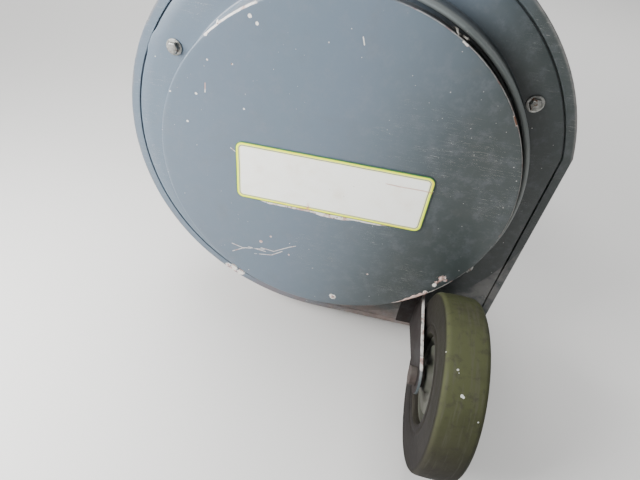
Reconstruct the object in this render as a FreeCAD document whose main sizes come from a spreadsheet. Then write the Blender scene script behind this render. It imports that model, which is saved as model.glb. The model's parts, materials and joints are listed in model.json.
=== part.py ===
"""Walk-behind garden shredder on three wheels, with a round sheet steel drum at its front.

X points to the right of someone facing the front cover, Y runs from the front to the
handle and Z is up. The origin is on the floor, midway between the two ends and the two
rear wheels. Sizes are in millimetres.
"""
import FreeCAD, Part
import math
import os
import re
import Sketcher
from FreeCAD import Placement, Rotation, Vector

# Driving sizes

SIZES = {
    # overall layout
    "total_length": 1120,
    "drum_axis_height": 275,
    "wheel_ahead": 125,
    "rear_axle_back": 470,
    "rear_track": 560,
    "crank_height": 106,
    # drum and its cover
    "drum_radius": 240,
    "drum_flat": 8.5,
    "drum_depth": 120,
    "drum_wall": 3,
    "rim_gap": 2.5,
    "rim_width": 9.5,
    "cover_thick": 3,
    "seat_thick": 3,
    "back_thick": 4,
    "pan_radius": 190,
    "pan_height": 36,
    "pan_draft": 2,
    "pan_edge": 5,
    "label_width": 209,
    "label_height": 71,
    "label_thick": 1,
    # rotor
    "shaft_radius": 12.7,
    "rotor_radius": 205,
    "rotor_disc_thick": 6,
    "rotor_hub_radius": 30,
    "rotor_end_gap": 12,
    "paddle_thick": 6,
    "paddle_depth": 62,
    "paddle_reach": 110,
    "bearing_radius": 45,
    "bearing_length": 40,
    "running_gap": 0.05,
    "plate_clearance": 0.5,
    "shaft_reach": 65,
    "shaft_end_gap": 13,
    # feed
    "throat_width": 180,
    "throat_depth": 100,
    "throat_top": 537,
    "feed_wall": 2,
    "feed_flange": 20,
    "flange_thick": 3,
    "mouth_width": 380,
    "mouth_depth": 300,
    "mouth_height": 820,
    "mouth_lip": 12,
    # discharge
    "outlet_height": 110,
    "outlet_depth": 80,
    "outlet_base": 16,
    "outlet_border": 10,
    "outlet_plate": 4,
    "outlet_hole": 2.6,
    "flap_thick": 3,
    "flap_seat_gap": 0.5,
    "flap_lap": 1.5,
    "hinge_radius": 4,
    "hinge_pin": 1.5,
    "barrel_length": 48,
    # wheels
    "front_wheel_diameter": 203,
    "front_wheel_width": 45,
    "rear_wheel_diameter": 254,
    "rear_wheel_width": 45,
    "hub_share": 0.5,
    "hub_recess": 8,
    "boss_radius": 16,
    "boss_recess": 2,
    "tread_round": 13,
    "front_axle_radius": 6.35,
    "rear_axle_radius": 8,
    "wheel_fit": 0.08,
    "boss_gap": 0.5,
    # front bracket
    "bracket_side": 137,
    "bracket_thick": 3.5,
    "wheel_gap": 3,
    "bracket_foot": 20,
    "bracket_low": 45,
    "bracket_nose": 20,
    "axle_head": 8,
    "axle_head_radius": 11,
    # deck and rear axle
    "deck_width": 260,
    "deck_overhang": 63.5,
    "deck_sheet": 4,
    "deck_flange": 29,
    "deck_front_drop": 70,
    "lug_radius": 20,
    "lug_thick": 6,
    "lug_side": 105,
    "hitch_width": 50,
    "hitch_thick": 8,
    "hitch_length": 100,
    "hitch_out": 50,
    "hitch_hole": 6.5,
    # engine
    "case_width": 170,
    "case_depth": 130,
    "case_height": 190,
    "case_round": 14,
    "foot_reach": 14,
    "foot_inset": 12,
    "foot_thick": 9,
    "filler_radius": 13,
    "filler_length": 16,
    "filler_height": 41.5,
    "cylinder_radius": 40,
    "cylinder_height": 88,
    "fin_size": 112,
    "fin_thick": 3,
    "fin_pitch": 10,
    "shroud_depth": 64,
    "shroud_radius": 105,
    "shroud_round": 18,
    "recoil_radius": 82,
    "recoil_depth": 26,
    "recoil_slope": 14,
    "recoil_wall": 10.4,
    "grip_bar": 34,
    "grip_bar_thick": 18,
    "grip_bar_seat": 4.5,
    "tank_width": 200,
    "tank_depth": 110,
    "tank_height": 62,
    "tank_round": 16,
    "tank_sheet": 3,
    "tank_plate_width": 140,
    "tank_plate_depth": 88,
    "tank_plate_inset": 11,
    "cap_side": 50,
    "cap_radius": 26,
    "cap_height": 13,
    "muffler_width": 58,
    "muffler_depth": 92,
    "muffler_height": 66,
    "muffler_round": 12,
    "tail_radius": 9,
    "tail_length": 10,
    "tail_back": 69,
    "tail_height": 23,
    "port_radius": 13,
    "port_length": 30,
    "carburettor_radius": 17,
    "cleaner_width": 62,
    "cleaner_depth": 96,
    "cleaner_height": 84,
    "cleaner_round": 10,
    # handle
    "tube_radius": 12.7,
    "tube_wall": 1.6,
    "tube_gap": 0.3,
    "handle_seat": 170,
    "handle_setback": 30,
    "handle_top": 880,
    "bend_radius": 70,
    "cross_height": 740,
    "grip_length": 105,
    "grip_lead": 52.5,
    "grip_wall": 4,
}

# Places worked out from the driving sizes

PLACES = {
    "front_axle_z": "front_wheel_diameter / 2",
    "front_axle_y": "front_wheel_diameter / 2 - total_length / 2",
    "cover_y": "front_axle_y + wheel_ahead",
    "back_y": "cover_y + drum_depth",
    "rear_y": "back_y + back_thick",
    "rear_axle_y": "cover_y + rear_axle_back",
    "rear_axle_z": "rear_wheel_diameter / 2",
    "deck_back": "rear_axle_y + deck_overhang",
    "handle_front": "deck_back - handle_seat",
    "handle_bend": "deck_back - handle_setback",
    "drum_side": "drum_radius - drum_flat",
    "rim_inner": "drum_radius - rim_width",
    "cover_radius": "rim_inner - rim_gap",
    "seat_inner": "pan_radius + pan_draft",
    "drum_inner": "drum_radius - drum_wall",
    "rim_thick": "cover_thick + seat_thick",
    "feed_y": "cover_y + rim_thick + (drum_depth - rim_thick) / 2",
    "case_front": "rear_y + bearing_length",
    "shroud_front": "case_front + case_depth",
    "recoil_front": "shroud_front + shroud_depth",
    "deck_top": "drum_axis_height - crank_height",
    "case_top": "deck_top + case_height",
    "head_top": "case_top + cylinder_height",
    "case_middle": "case_front + case_depth / 2",
    "outlet_low": "drum_axis_height - drum_radius + outlet_base",
    "outlet_top": "outlet_low + outlet_height",
    "outlet_face": "drum_side + outlet_plate",
    "flap_inner": "outlet_face + flap_seat_gap",
    "hinge_z": "outlet_top + outlet_border - hinge_radius",
    "leaf_top": "hinge_z - hinge_radius - boss_gap",
    "hinge_x": "flap_inner + hinge_radius",
    "wheel_half": "front_wheel_width / 2",
    "rear_half": "rear_wheel_width / 2",
    "front_hub_radius": "front_wheel_diameter * hub_share / 2",
    "rear_hub_radius": "rear_wheel_diameter * hub_share / 2",
    "bracket_face": "bracket_side + bracket_thick",
    "front_wheel_side": "bracket_face + wheel_gap + wheel_half",
    "boss_half": "wheel_half - boss_recess",
    "rear_boss_half": "rear_half - boss_recess",
    "front_boss_x": "front_wheel_side - boss_half",
    "handle_x": "deck_width / 2 + tube_radius + tube_gap",
    "handle_low": "deck_top - deck_flange / 2",
    "handle_end": "total_length / 2",
    "grip_start": "handle_end - grip_length - grip_lead",
    "tank_floor": "head_top + tank_sheet",
    "side_port_z": "case_top + cylinder_height / 2",
    "fin_half": "fin_size / 2",
}

doc = FreeCAD.newDocument("garden_shredder")
sheet = doc.addObject("Spreadsheet::Sheet", "Sizes")
for row, (word, amount) in enumerate(SIZES.items(), start=1):
    sheet.set("A%d" % row, word)
    sheet.set("B%d" % row, str(amount))
    sheet.setAlias("B%d" % row, word)
doc.recompute()

places = doc.addObject("App::VarSet", "Places")


def formula(text):
    """Point each driving size and each worked out place in a formula at its object."""
    def swap(match):
        word = match.group()
        if word in SIZES:
            return "Sizes." + word
        return "Places." + word if word in PLACES else word
    return re.sub(r"[a-z][a-z_]*", swap, text)


for word in PLACES:
    places.addProperty("App::PropertyFloat", word, "Places")
    places.setExpression(word, formula(PLACES[word]).replace("Places.", ""))
doc.recompute()


def number(word):
    """Value of one driving size or worked out place."""
    return float(getattr(sheet if word in SIZES else places, word))


# Sketch and feature helpers

def bind(item, **formulas):
    for name, text in formulas.items():
        item.setExpression(name, formula(text))


def put(item, x="0", y="0", z="0"):
    """Place an item by formulas."""
    for axis, text in zip("xyz", (x, y, z)):
        item.setExpression("Placement.Base." + axis, formula(text))
    return item


def new_body(label, x="0", y="0", z="0"):
    body = doc.addObject("PartDesign::Body", label)
    body.Label = label
    return put(body, x, y, z)


def new_sketch(body, role, offset="0"):
    """Sketch on one of the body's own origin planes, moved along the plane's normal."""
    plane = next(item for item in body.Origin.OriginFeatures if item.Role == role)
    sketch = body.newObject("Sketcher::SketchObject", body.Name + "_sketch")
    sketch.AttachmentSupport = (plane, [""])
    sketch.MapMode = "FlatFace"
    if offset != "0":
        sketch.setExpression("AttachmentOffset.Base.z", formula(offset))
    return sketch


def pin(sketch, item, end, x, y):
    """Fix a sketch point at two formulas."""
    for kind, text, axis in (("DistanceX", x, -2), ("DistanceY", y, -1)):
        if text == "0":
            sketch.addConstraint(Sketcher.Constraint("PointOnObject", item, end, axis))
        else:
            start = number(text) if text in SIZES or text in PLACES else 1.0
            index = sketch.addConstraint(Sketcher.Constraint(kind, -1, 1, item, end, start))
            sketch.setExpression("Constraints[%d]" % index, formula(text))


def polygon(sketch, corners):
    """Closed outline through corners given as pairs of formulas."""
    count = len(corners)
    first = sketch.GeometryCount
    ring = [Vector(math.cos(2 * math.pi * i / count), math.sin(2 * math.pi * i / count), 0)
            for i in range(count)]
    for i in range(count):
        sketch.addGeometry(Part.LineSegment(ring[i], ring[(i + 1) % count]))
    for i, (x, y) in enumerate(corners):
        previous = first + (i - 1) % count
        sketch.addConstraint(Sketcher.Constraint("Coincident", previous, 2, first + i, 1))
        pin(sketch, first + i, 1, x, y)


def rectangle(sketch, x0, y0, x1, y1):
    polygon(sketch, [(x0, y0), (x1, y0), (x1, y1), (x0, y1)])


def circle(sketch, radius, x="0", y="0"):
    item = sketch.addGeometry(Part.Circle(Vector(0, 0, 0), Vector(0, 0, 1), 1.0))
    index = sketch.addConstraint(Sketcher.Constraint("Radius", item, 1.0))
    sketch.setExpression("Constraints[%d]" % index, formula(radius))
    pin(sketch, item, 3, x, y)


def feature(body, kind, sketch, length=None, reverse=False):
    """Pad, pocket or revolution made from one sketch."""
    item = body.newObject("PartDesign::" + kind, body.Name + "_" + kind.lower())
    item.Profile = sketch
    if kind in ("Pad", "Pocket"):
        item.setExpression("Length", formula(length))
        item.Reversed = reverse
    else:
        item.ReferenceAxis = (sketch, ["H_Axis"])
        item.Angle = 360
    sketch.Visibility = False
    return item


def turned(label, corners, x="0", y="0", z="0"):
    """Body turned about its own X axis from an outline of (along, radius) pairs."""
    body = new_body(label, x, y, z)
    sketch = new_sketch(body, "XY_Plane")
    polygon(sketch, corners)
    feature(body, "Revolution", sketch)
    return body


def box(label, size, x, y, z):
    item = doc.addObject("Part::Box", label)
    bind(item, Length=size[0], Width=size[1], Height=size[2])
    return put(item, x, y, z)


def cylinder(label, radius, height, x="0", y="0", z="0", along="Z"):
    item = doc.addObject("Part::Cylinder", label)
    bind(item, Radius=radius, Height=height)
    turns = {"X": Rotation(Vector(0, 1, 0), 90), "Y": Rotation(Vector(1, 0, 0), -90), "Z": Rotation()}
    item.Placement = Placement(Vector(0, 0, 0), turns[along])
    return put(item, x, y, z)


def cut(label, base, tool):
    item = doc.addObject("Part::Cut", label)
    item.Base, item.Tool = base, tool
    return item


def joined(label, items):
    item = doc.addObject("Part::MultiFuse", label)
    item.Shapes = items
    return item


NODES = []


def node(item):
    """Keep an item as a sub-part that is written out."""
    item.Label = item.Name
    NODES.append(item)
    return item


# Drum

def flat_circle(sketch, radius):
    """Circle cut off by an upright line at its right."""
    reach, side = number(radius), number(radius) - number("drum_flat")
    turn = math.acos(side / reach)
    rise = math.sqrt(reach ** 2 - side ** 2)
    ring = Part.Circle(Vector(0, 0, 0), Vector(0, 0, 1), reach)
    arc = sketch.addGeometry(Part.ArcOfCircle(ring, turn, 2 * math.pi - turn))
    line = sketch.addGeometry(Part.LineSegment(Vector(side, -rise, 0), Vector(side, rise, 0)))
    sketch.addConstraint(Sketcher.Constraint("Coincident", arc, 3, -1, 1))
    sketch.addConstraint(Sketcher.Constraint("Coincident", arc, 2, line, 1))
    sketch.addConstraint(Sketcher.Constraint("Coincident", line, 2, arc, 1))
    sketch.addConstraint(Sketcher.Constraint("Vertical", line))
    for constraint, text in ((Sketcher.Constraint("Radius", arc, reach), radius),
                             (Sketcher.Constraint("DistanceX", -1, 1, line, 1, side),
                              "%s - drum_flat" % radius)):
        index = sketch.addConstraint(constraint)
        sketch.setExpression("Constraints[%d]" % index, formula(text))


def drum_outline(body, kind, radius, length, reverse=True):
    """Circle with a flat right side and a squared lower right quarter, as a pad or a pocket."""
    round_part = new_sketch(body, "XZ_Plane")
    flat_circle(round_part, radius)
    feature(body, kind, round_part, length, reverse)
    square_part = new_sketch(body, "XZ_Plane")
    rectangle(square_part, "0", "-" + radius, radius + " - drum_flat", "0")
    feature(body, kind, square_part, length, reverse)


def drum_shell():
    """Rolled sheet wall with a feed slot on top and an outlet in its right side."""
    body = new_body("drum_shell", "0", "cover_y + rim_thick", "drum_axis_height")
    drum_outline(body, "Pad", "drum_radius", "drum_depth - rim_thick")
    drum_outline(body, "Pocket", "drum_inner", "drum_depth - rim_thick", False)
    feed = new_sketch(body, "XY_Plane", "drum_radius / 2")
    half = "throat_width / 2 - feed_wall"
    middle = "(drum_depth - rim_thick) / 2"
    deep = "throat_depth / 2 - feed_wall"
    rectangle(feed, "-(%s)" % half, "%s - (%s)" % (middle, deep), half, "%s + %s" % (middle, deep))
    feature(body, "Pocket", feed, "drum_radius", True)
    outlet = new_sketch(body, "YZ_Plane", "drum_side - 2 * drum_wall")
    low = "outlet_low - drum_axis_height"
    rectangle(outlet, "%s - outlet_depth / 2" % middle, low,
              "%s + outlet_depth / 2" % middle, "%s + outlet_height" % low)
    feature(body, "Pocket", outlet, "drum_wall * 3", True)
    node(body)


def drum_rim():
    """Front ring flush with the cover, with the seat that the cover is screwed to."""
    body = new_body("drum_rim", "0", "cover_y", "drum_axis_height")
    drum_outline(body, "Pad", "drum_radius", "rim_thick")
    drum_outline(body, "Pocket", "rim_inner", "cover_thick", False)
    mouth = new_sketch(body, "XZ_Plane")
    circle(mouth, "seat_inner")
    feature(body, "Pocket", mouth, "rim_thick", False)
    node(body)


def front_cover():
    """Screwed cover plate with a hollow raised round pan."""
    body = new_body("front_cover", "0", "cover_y", "drum_axis_height")
    drum_outline(body, "Pad", "cover_radius", "cover_thick")
    hole = new_sketch(body, "XZ_Plane")
    circle(hole, "pan_radius - cover_thick")
    feature(body, "Pocket", hole, "cover_thick", False)
    section = new_sketch(body, "XY_Plane")
    outer = "pan_radius"
    inner = "pan_radius - cover_thick"
    polygon(section, [("0", "-pan_height"), ("%s - pan_draft - pan_edge" % outer, "-pan_height"),
                      ("%s - pan_draft" % outer, "pan_edge - pan_height"), (outer, "0"),
                      (outer, "cover_thick"), (inner, "cover_thick"),
                      ("%s - pan_draft" % inner, "pan_edge - pan_height"),
                      ("%s - pan_draft - pan_edge + cover_thick / 2" % inner, "cover_thick - pan_height"),
                      ("0", "cover_thick - pan_height")])
    pan = feature(body, "Revolution", section)
    pan.ReferenceAxis = (section, ["V_Axis"])
    node(body)


def blank_plate():
    """Bare plate in the middle of the pan."""
    node(box("blank_plate", ("label_width", "label_thick", "label_height"),
             "-label_width / 2", "cover_y - pan_height - label_thick",
             "drum_axis_height - label_height / 2"))


def back_plate():
    body = new_body("back_plate", "0", "back_y", "drum_axis_height")
    drum_outline(body, "Pad", "drum_radius", "back_thick")
    bore = new_sketch(body, "XZ_Plane")
    circle(bore, "shaft_radius + plate_clearance")
    feature(body, "Pocket", bore, "back_thick", False)
    node(body)


def bearing_housing():
    body = new_body("bearing_housing", "0", "rear_y", "drum_axis_height")
    ring = new_sketch(body, "XZ_Plane")
    circle(ring, "bearing_radius")
    circle(ring, "shaft_radius + running_gap")
    feature(body, "Pad", ring, "bearing_length", True)
    node(body)


# Rotor

def rotor():
    """Shaft, disc and four paddles that turn together about the drum's axis."""
    disc_y = "back_y - rotor_end_gap - rotor_disc_thick"
    hub_y = "%s - paddle_depth" % disc_y
    node(cylinder("rotor_shaft", "shaft_radius", "case_front + shaft_reach - (%s)" % hub_y,
                  "0", hub_y, "drum_axis_height", "Y"))
    body = new_body("rotor_disc", "0", disc_y, "drum_axis_height")
    ring = new_sketch(body, "XZ_Plane")
    circle(ring, "rotor_radius")
    feature(body, "Pad", ring, "rotor_disc_thick", True)
    hub = new_sketch(body, "XZ_Plane", "paddle_depth")
    circle(hub, "rotor_hub_radius")
    feature(body, "Pad", hub, "paddle_depth", True)
    bore = new_sketch(body, "XZ_Plane", "paddle_depth")
    circle(bore, "shaft_radius")
    feature(body, "Pocket", bore, "paddle_depth + rotor_disc_thick", False)
    node(body)
    for index in range(4):
        paddle = box("paddle_%d" % (index + 1), ("paddle_reach", "paddle_depth", "paddle_thick"),
                     "0", "0", "0")
        angle = 45 + 90 * index
        along, up = math.cos(math.radians(angle)), math.sin(math.radians(angle))
        paddle.Placement = Placement(Vector(0, 0, 0), Rotation(Vector(0, 1, 0), -angle))
        start = "(rotor_radius - paddle_reach)"
        put(paddle, "%s * %.6f + paddle_thick / 2 * %.6f" % (start, along, up), hub_y,
            "drum_axis_height + %s * %.6f - paddle_thick / 2 * %.6f" % (start, up, along))
        node(paddle)


# Feed

def hopper_throat():
    """Upright duct whose foot follows the drum, with a flange on top."""
    foot = "drum_axis_height + drum_radius / 2"
    outer = box("throat_outer", ("throat_width", "throat_depth", "throat_top - (%s)" % foot),
                "-throat_width / 2", "feed_y - throat_depth / 2", foot)
    flange = box("throat_flange",
                 ("throat_width + 2 * feed_flange", "throat_depth", "flange_thick"),
                 "-throat_width / 2 - feed_flange", "feed_y - throat_depth / 2",
                 "throat_top - flange_thick")
    inner = box("throat_inner", ("throat_width - 2 * feed_wall", "throat_depth - 2 * feed_wall",
                                 "throat_top"),
                "feed_wall - throat_width / 2", "feed_y - throat_depth / 2 + feed_wall", foot)
    drum = cylinder("throat_saddle", "drum_radius", "drum_depth", "0", "cover_y",
                    "drum_axis_height", "Y")
    node(cut("hopper_throat", joined("throat_block", [outer, flange]),
             joined("throat_space", [inner, drum])))


def loft_rectangle(body, half_width, half_depth, height):
    sketch = new_sketch(body, "XY_Plane", height)
    rectangle(sketch, "-(%s)" % half_width, "-(%s)" % half_depth, half_width, half_depth)
    return sketch


def loft(body, kind, lower, upper):
    item = body.newObject("PartDesign::" + kind, body.Name + "_" + kind.lower())
    item.Profile = lower
    item.Sections = [upper]
    item.Ruled = True
    return item


def hopper():
    """Flared sheet hopper, open above and below, with a lip round its mouth."""
    body = new_body("hopper", "0", "feed_y", "throat_top")
    rise = "mouth_height - throat_top"
    flange = loft_rectangle(body, "throat_width / 2 + feed_flange", "throat_depth / 2", "0")
    feature(body, "Pad", flange, "flange_thick")
    loft(body, "AdditiveLoft", loft_rectangle(body, "throat_width / 2", "throat_depth / 2", "0"),
         loft_rectangle(body, "mouth_width / 2", "mouth_depth / 2", rise))
    lip = loft_rectangle(body, "mouth_width / 2 + mouth_lip", "mouth_depth / 2 + mouth_lip", rise)
    feature(body, "Pad", lip, "flange_thick", True)
    loft(body, "SubtractiveLoft",
         loft_rectangle(body, "throat_width / 2 - feed_wall", "throat_depth / 2 - feed_wall", "0"),
         loft_rectangle(body, "mouth_width / 2 - feed_wall", "mouth_depth / 2 - feed_wall", rise))
    node(body)


# Discharge

def outlet_frame():
    """Plate round the outlet, with four screw holes for a duct or a bag ring."""
    body = new_body("outlet_frame", "drum_side", "feed_y", "outlet_low")
    plate = new_sketch(body, "YZ_Plane")
    half = "(outlet_depth / 2)"
    rectangle(plate, "-%s - outlet_border" % half, "-outlet_border", "%s + outlet_border" % half,
              "outlet_height + outlet_border")
    rectangle(plate, "-%s" % half, "0", half, "outlet_height")
    for side in ("-", ""):
        for level in ("-outlet_border / 2", "outlet_height + outlet_border / 2"):
            circle(plate, "outlet_hole", "%s(%s + outlet_border / 2)" % (side, half), level)
    feature(body, "Pad", plate, "outlet_plate")
    node(body)


def discharge_flap():
    """Flap that hangs from a pin above the outlet and swings outwards."""
    leaf = box("flap_leaf", ("flap_thick", "outlet_depth + 2 * flap_lap", "leaf_top - outlet_low + flap_lap"),
               "flap_inner", "feed_y - outlet_depth / 2 - flap_lap", "outlet_low - flap_lap")
    neck = box("flap_neck", ("flap_thick", "barrel_length", "hinge_z - leaf_top"), "flap_inner",
               "feed_y - barrel_length / 2", "leaf_top")
    barrel = cylinder("flap_barrel", "hinge_radius", "barrel_length", "hinge_x",
                      "feed_y - barrel_length / 2", "hinge_z", "Y")
    bore = cylinder("flap_bore", "hinge_pin + running_gap", "barrel_length", "hinge_x",
                    "feed_y - barrel_length / 2", "hinge_z", "Y")
    node(cut("discharge_flap", joined("flap_block", [leaf, neck, barrel]), bore))


def flap_hinge():
    """Pin held by two ears on the outlet frame."""
    reach = "(barrel_length / 2 + boss_gap)"
    pin_rod = cylinder("hinge_rod", "hinge_pin", "2 * (%s + outlet_plate)" % reach, "hinge_x",
                       "feed_y - %s - outlet_plate" % reach, "hinge_z", "Y")
    ears = []
    for name, y in (("front", "feed_y - %s - outlet_plate" % reach), ("back", "feed_y + %s" % reach)):
        ears.append(box("hinge_ear_" + name,
                        ("hinge_x - outlet_face", "outlet_plate", "2 * hinge_radius"),
                        "outlet_face", y, "hinge_z - hinge_radius"))
        ears.append(cylinder("hinge_eye_" + name, "hinge_radius", "outlet_plate", "hinge_x", y,
                             "hinge_z", "Y"))
    node(joined("flap_hinge", ears + [pin_rod]))


# Wheels

def tyre(label, diameter, half, hub, x, y, z):
    """Solid rubber tyre with rounded shoulders."""
    top = "%s / 2" % diameter
    body = turned(label, [("-(%s)" % half, hub), (half, hub), (half, top), ("-(%s)" % half, top)], x, y, z)
    doc.recompute()
    block = body.Tip
    outer = number(diameter) / 2
    rounded(body, block, lambda edge: edge.BoundBox.ZMax - edge.BoundBox.ZMin > 1.9 * outer, "tread_round")
    node(body)


def rounded(body, block, wanted, radius):
    """Fillet on the edges of a body's last feature that a test picks."""
    names = ["Edge%d" % index for index, edge in enumerate(block.Shape.Edges, start=1) if wanted(edge)]
    item = body.newObject("PartDesign::Fillet", body.Name + "_fillet")
    item.Base = (block, names)
    item.setExpression("Radius", formula(radius))
    body.Tip = item
    return item


def hub(label, radius, half, bore, x, y, z):
    """Disc hub, set back inside the tyre, with a boss on its bearing."""
    disc = "(%s - hub_recess)" % half
    boss = "(%s - boss_recess)" % half
    body = turned(label, [("-%s" % disc, "boss_radius"), ("-%s" % disc, radius), (disc, radius),
                          (disc, "boss_radius"), (boss, "boss_radius"), (boss, bore),
                          ("-%s" % boss, bore), ("-%s" % boss, "boss_radius")], x, y, z)
    node(body)


def wheels():
    front = ("front_wheel_side", "front_axle_y", "front_axle_z")
    tyre("front_tyre", "front_wheel_diameter", "wheel_half", "front_hub_radius", *front)
    hub("front_hub", "front_hub_radius", "wheel_half", "front_axle_radius + wheel_fit", *front)
    for side, x in (("left", "-rear_track / 2"), ("right", "rear_track / 2")):
        rear = (x, "rear_axle_y", "rear_axle_z")
        tyre("rear_tyre_" + side, "rear_wheel_diameter", "rear_half", "rear_hub_radius", *rear)
        hub("rear_hub_" + side, "rear_hub_radius", "rear_half", "rear_axle_radius + wheel_fit", *rear)


def front_axle():
    """Shoulder bolt through the bracket and the hub, with a head and a nut."""
    end = "front_wheel_side + boss_half + boss_gap"
    collar = "front_boss_x - boss_gap"
    radius = "axle_head_radius"
    rod = "front_axle_radius"
    body = turned("front_axle", [("bracket_side - axle_head", "0"), ("bracket_side - axle_head", radius),
                                 ("bracket_side", radius), ("bracket_side", rod),
                                 ("bracket_face", rod), ("bracket_face", radius), (collar, radius),
                                 (collar, rod), (end, rod), (end, radius),
                                 ("%s + axle_head" % end, radius), ("%s + axle_head" % end, "0")],
                  "0", "front_axle_y", "front_axle_z")
    node(body)


def front_bracket():
    """Upright plate ahead of the cover that carries the front wheel, with a foot."""
    body = new_body("front_bracket", "bracket_side", "cover_y", "0")
    top = "front_axle_z + bracket_nose"
    web = new_sketch(body, "YZ_Plane")
    polygon(web, [("0", "bracket_low"), ("0", top), ("-wheel_ahead", top),
                  ("-wheel_ahead", "front_axle_z - bracket_nose")])
    feature(body, "Pad", web, "bracket_thick")
    nose = new_sketch(body, "YZ_Plane")
    circle(nose, "bracket_nose", "-wheel_ahead", "front_axle_z")
    feature(body, "Pad", nose, "bracket_thick")
    bore = new_sketch(body, "YZ_Plane")
    circle(bore, "front_axle_radius", "-wheel_ahead", "front_axle_z")
    feature(body, "Pocket", bore, "bracket_thick", False).Reversed = True
    foot = new_sketch(body, "XZ_Plane")
    rectangle(foot, "-bracket_foot", "bracket_low", "bracket_thick", top)
    feature(body, "Pad", foot, "bracket_thick", False)
    node(body)


# Deck

def deck():
    """Folded plate behind the drum that carries the engine, the axle and the handle."""
    body = new_body("deck", "0", "rear_y", "deck_top")
    run = "deck_back - rear_y"
    half = "(deck_width / 2)"
    section = new_sketch(body, "XZ_Plane")
    polygon(section, [("-%s" % half, "-deck_flange"), ("-%s" % half, "0"), (half, "0"),
                      (half, "-deck_flange"), ("%s - deck_sheet" % half, "-deck_flange"),
                      ("%s - deck_sheet" % half, "-deck_sheet"),
                      ("deck_sheet - %s" % half, "-deck_sheet"),
                      ("deck_sheet - %s" % half, "-deck_flange")])
    feature(body, "Pad", section, run, True)
    front = new_sketch(body, "XZ_Plane")
    rectangle(front, "-%s" % half, "-deck_front_drop", half, "0")
    feature(body, "Pad", front, "deck_sheet", True)
    node(body)


def axle_brackets():
    for side, x in (("left", "-lug_side - lug_thick"), ("right", "lug_side")):
        body = new_body("axle_bracket_" + side, x, "rear_axle_y", "rear_axle_z")
        plate = new_sketch(body, "YZ_Plane")
        rise = "deck_top - deck_sheet - rear_axle_z"
        rectangle(plate, "-lug_radius", "0", "lug_radius", rise)
        feature(body, "Pad", plate, "lug_thick")
        lug = new_sketch(body, "YZ_Plane")
        circle(lug, "lug_radius")
        feature(body, "Pad", lug, "lug_thick")
        bore = new_sketch(body, "YZ_Plane")
        circle(bore, "rear_axle_radius")
        feature(body, "Pocket", bore, "lug_thick", False).Reversed = True
        node(body)


def rear_axle():
    """Rod with a collar inside each wheel and a cap outside it."""
    inner = "(rear_track / 2 - rear_boss_half - boss_gap)"
    outer = "(rear_track / 2 + rear_boss_half + boss_gap)"
    collar = "(%s - axle_head)" % inner
    cap = "(%s + boss_recess)" % outer
    rod = "rear_axle_radius"
    wide = "rear_axle_radius + axle_head / 2"
    half = [(collar, rod), (collar, wide), (inner, wide), (inner, rod), (outer, rod),
            (outer, wide), (cap, wide), (cap, "0")]
    mirrored = [("-" + x, radius) for x, radius in reversed(half)]
    node(turned("rear_axle", mirrored + half, "0", "rear_axle_y", "rear_axle_z"))


def hitch_plate():
    """Drawbar tongue under the deck's back edge, with a pin hole."""
    body = new_body("hitch_plate", "0", "deck_back", "deck_top - deck_sheet - hitch_thick")
    tongue = new_sketch(body, "XY_Plane")
    rectangle(tongue, "-hitch_width / 2", "hitch_out - hitch_length", "hitch_width / 2", "hitch_out")
    circle(tongue, "hitch_hole", "0", "hitch_out - hitch_width / 2")
    feature(body, "Pad", tongue, "hitch_thick")
    node(body)


# Engine

def upright(edge):
    """Whether an edge is straight and runs up."""
    bounds = edge.BoundBox
    return bounds.XLength < 0.01 and bounds.YLength < 0.01 and bounds.ZLength > 1


def case_body(label, width, depth, height, x, y, z, radius, wanted=upright):
    """Box standing on its own floor plane, with rounded edges."""
    body = new_body(label, x, y, z)
    sketch = new_sketch(body, "XY_Plane")
    rectangle(sketch, "-(%s) / 2" % width, "0", "(%s) / 2" % width, depth)
    block = feature(body, "Pad", sketch, height)
    doc.recompute()
    rounded(body, block, wanted, radius)
    return body


def crankcase():
    """Engine block on a wider foot, bored for the shaft, with an oil filler at its left."""
    body = case_body("crankcase", "case_width", "case_depth", "case_height", "0", "case_front",
                     "deck_top", "case_round")
    foot = new_sketch(body, "XY_Plane")
    rectangle(foot, "-case_width / 2 - foot_reach", "foot_inset", "case_width / 2 + foot_reach",
              "case_depth - foot_inset")
    feature(body, "Pad", foot, "foot_thick")
    filler = new_sketch(body, "YZ_Plane", "-case_width / 2 - filler_length")
    circle(filler, "filler_radius", "case_depth / 2", "filler_height")
    feature(body, "Pad", filler, "filler_length + case_round")
    bore = new_sketch(body, "XZ_Plane")
    circle(bore, "shaft_radius + running_gap", "0", "crank_height")
    feature(body, "Pocket", bore, "shaft_reach + shaft_end_gap", False)
    node(body)


def cylinder_block():
    """Upright cylinder with square cooling fins."""
    body = new_body("cylinder_block", "0", "case_middle", "case_top")
    core = new_sketch(body, "XY_Plane")
    circle(core, "cylinder_radius")
    feature(body, "Pad", core, "cylinder_height")
    fin = new_sketch(body, "XY_Plane", "cylinder_height - fin_thick")
    rectangle(fin, "-fin_half", "-fin_half", "fin_half", "fin_half")
    first = feature(body, "Pad", fin, "fin_thick")
    doc.recompute()
    row = body.newObject("PartDesign::LinearPattern", "fin_row")
    row.Originals = [first]
    row.Direction = (fin, ["N_Axis"])
    row.Reversed = True
    row.Mode = "Spacing"
    row.Occurrences = int((number("cylinder_height") - number("fin_thick")) // number("fin_pitch"))
    row.setExpression("Offset", formula("fin_pitch"))
    body.Tip = row
    node(body)


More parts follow.
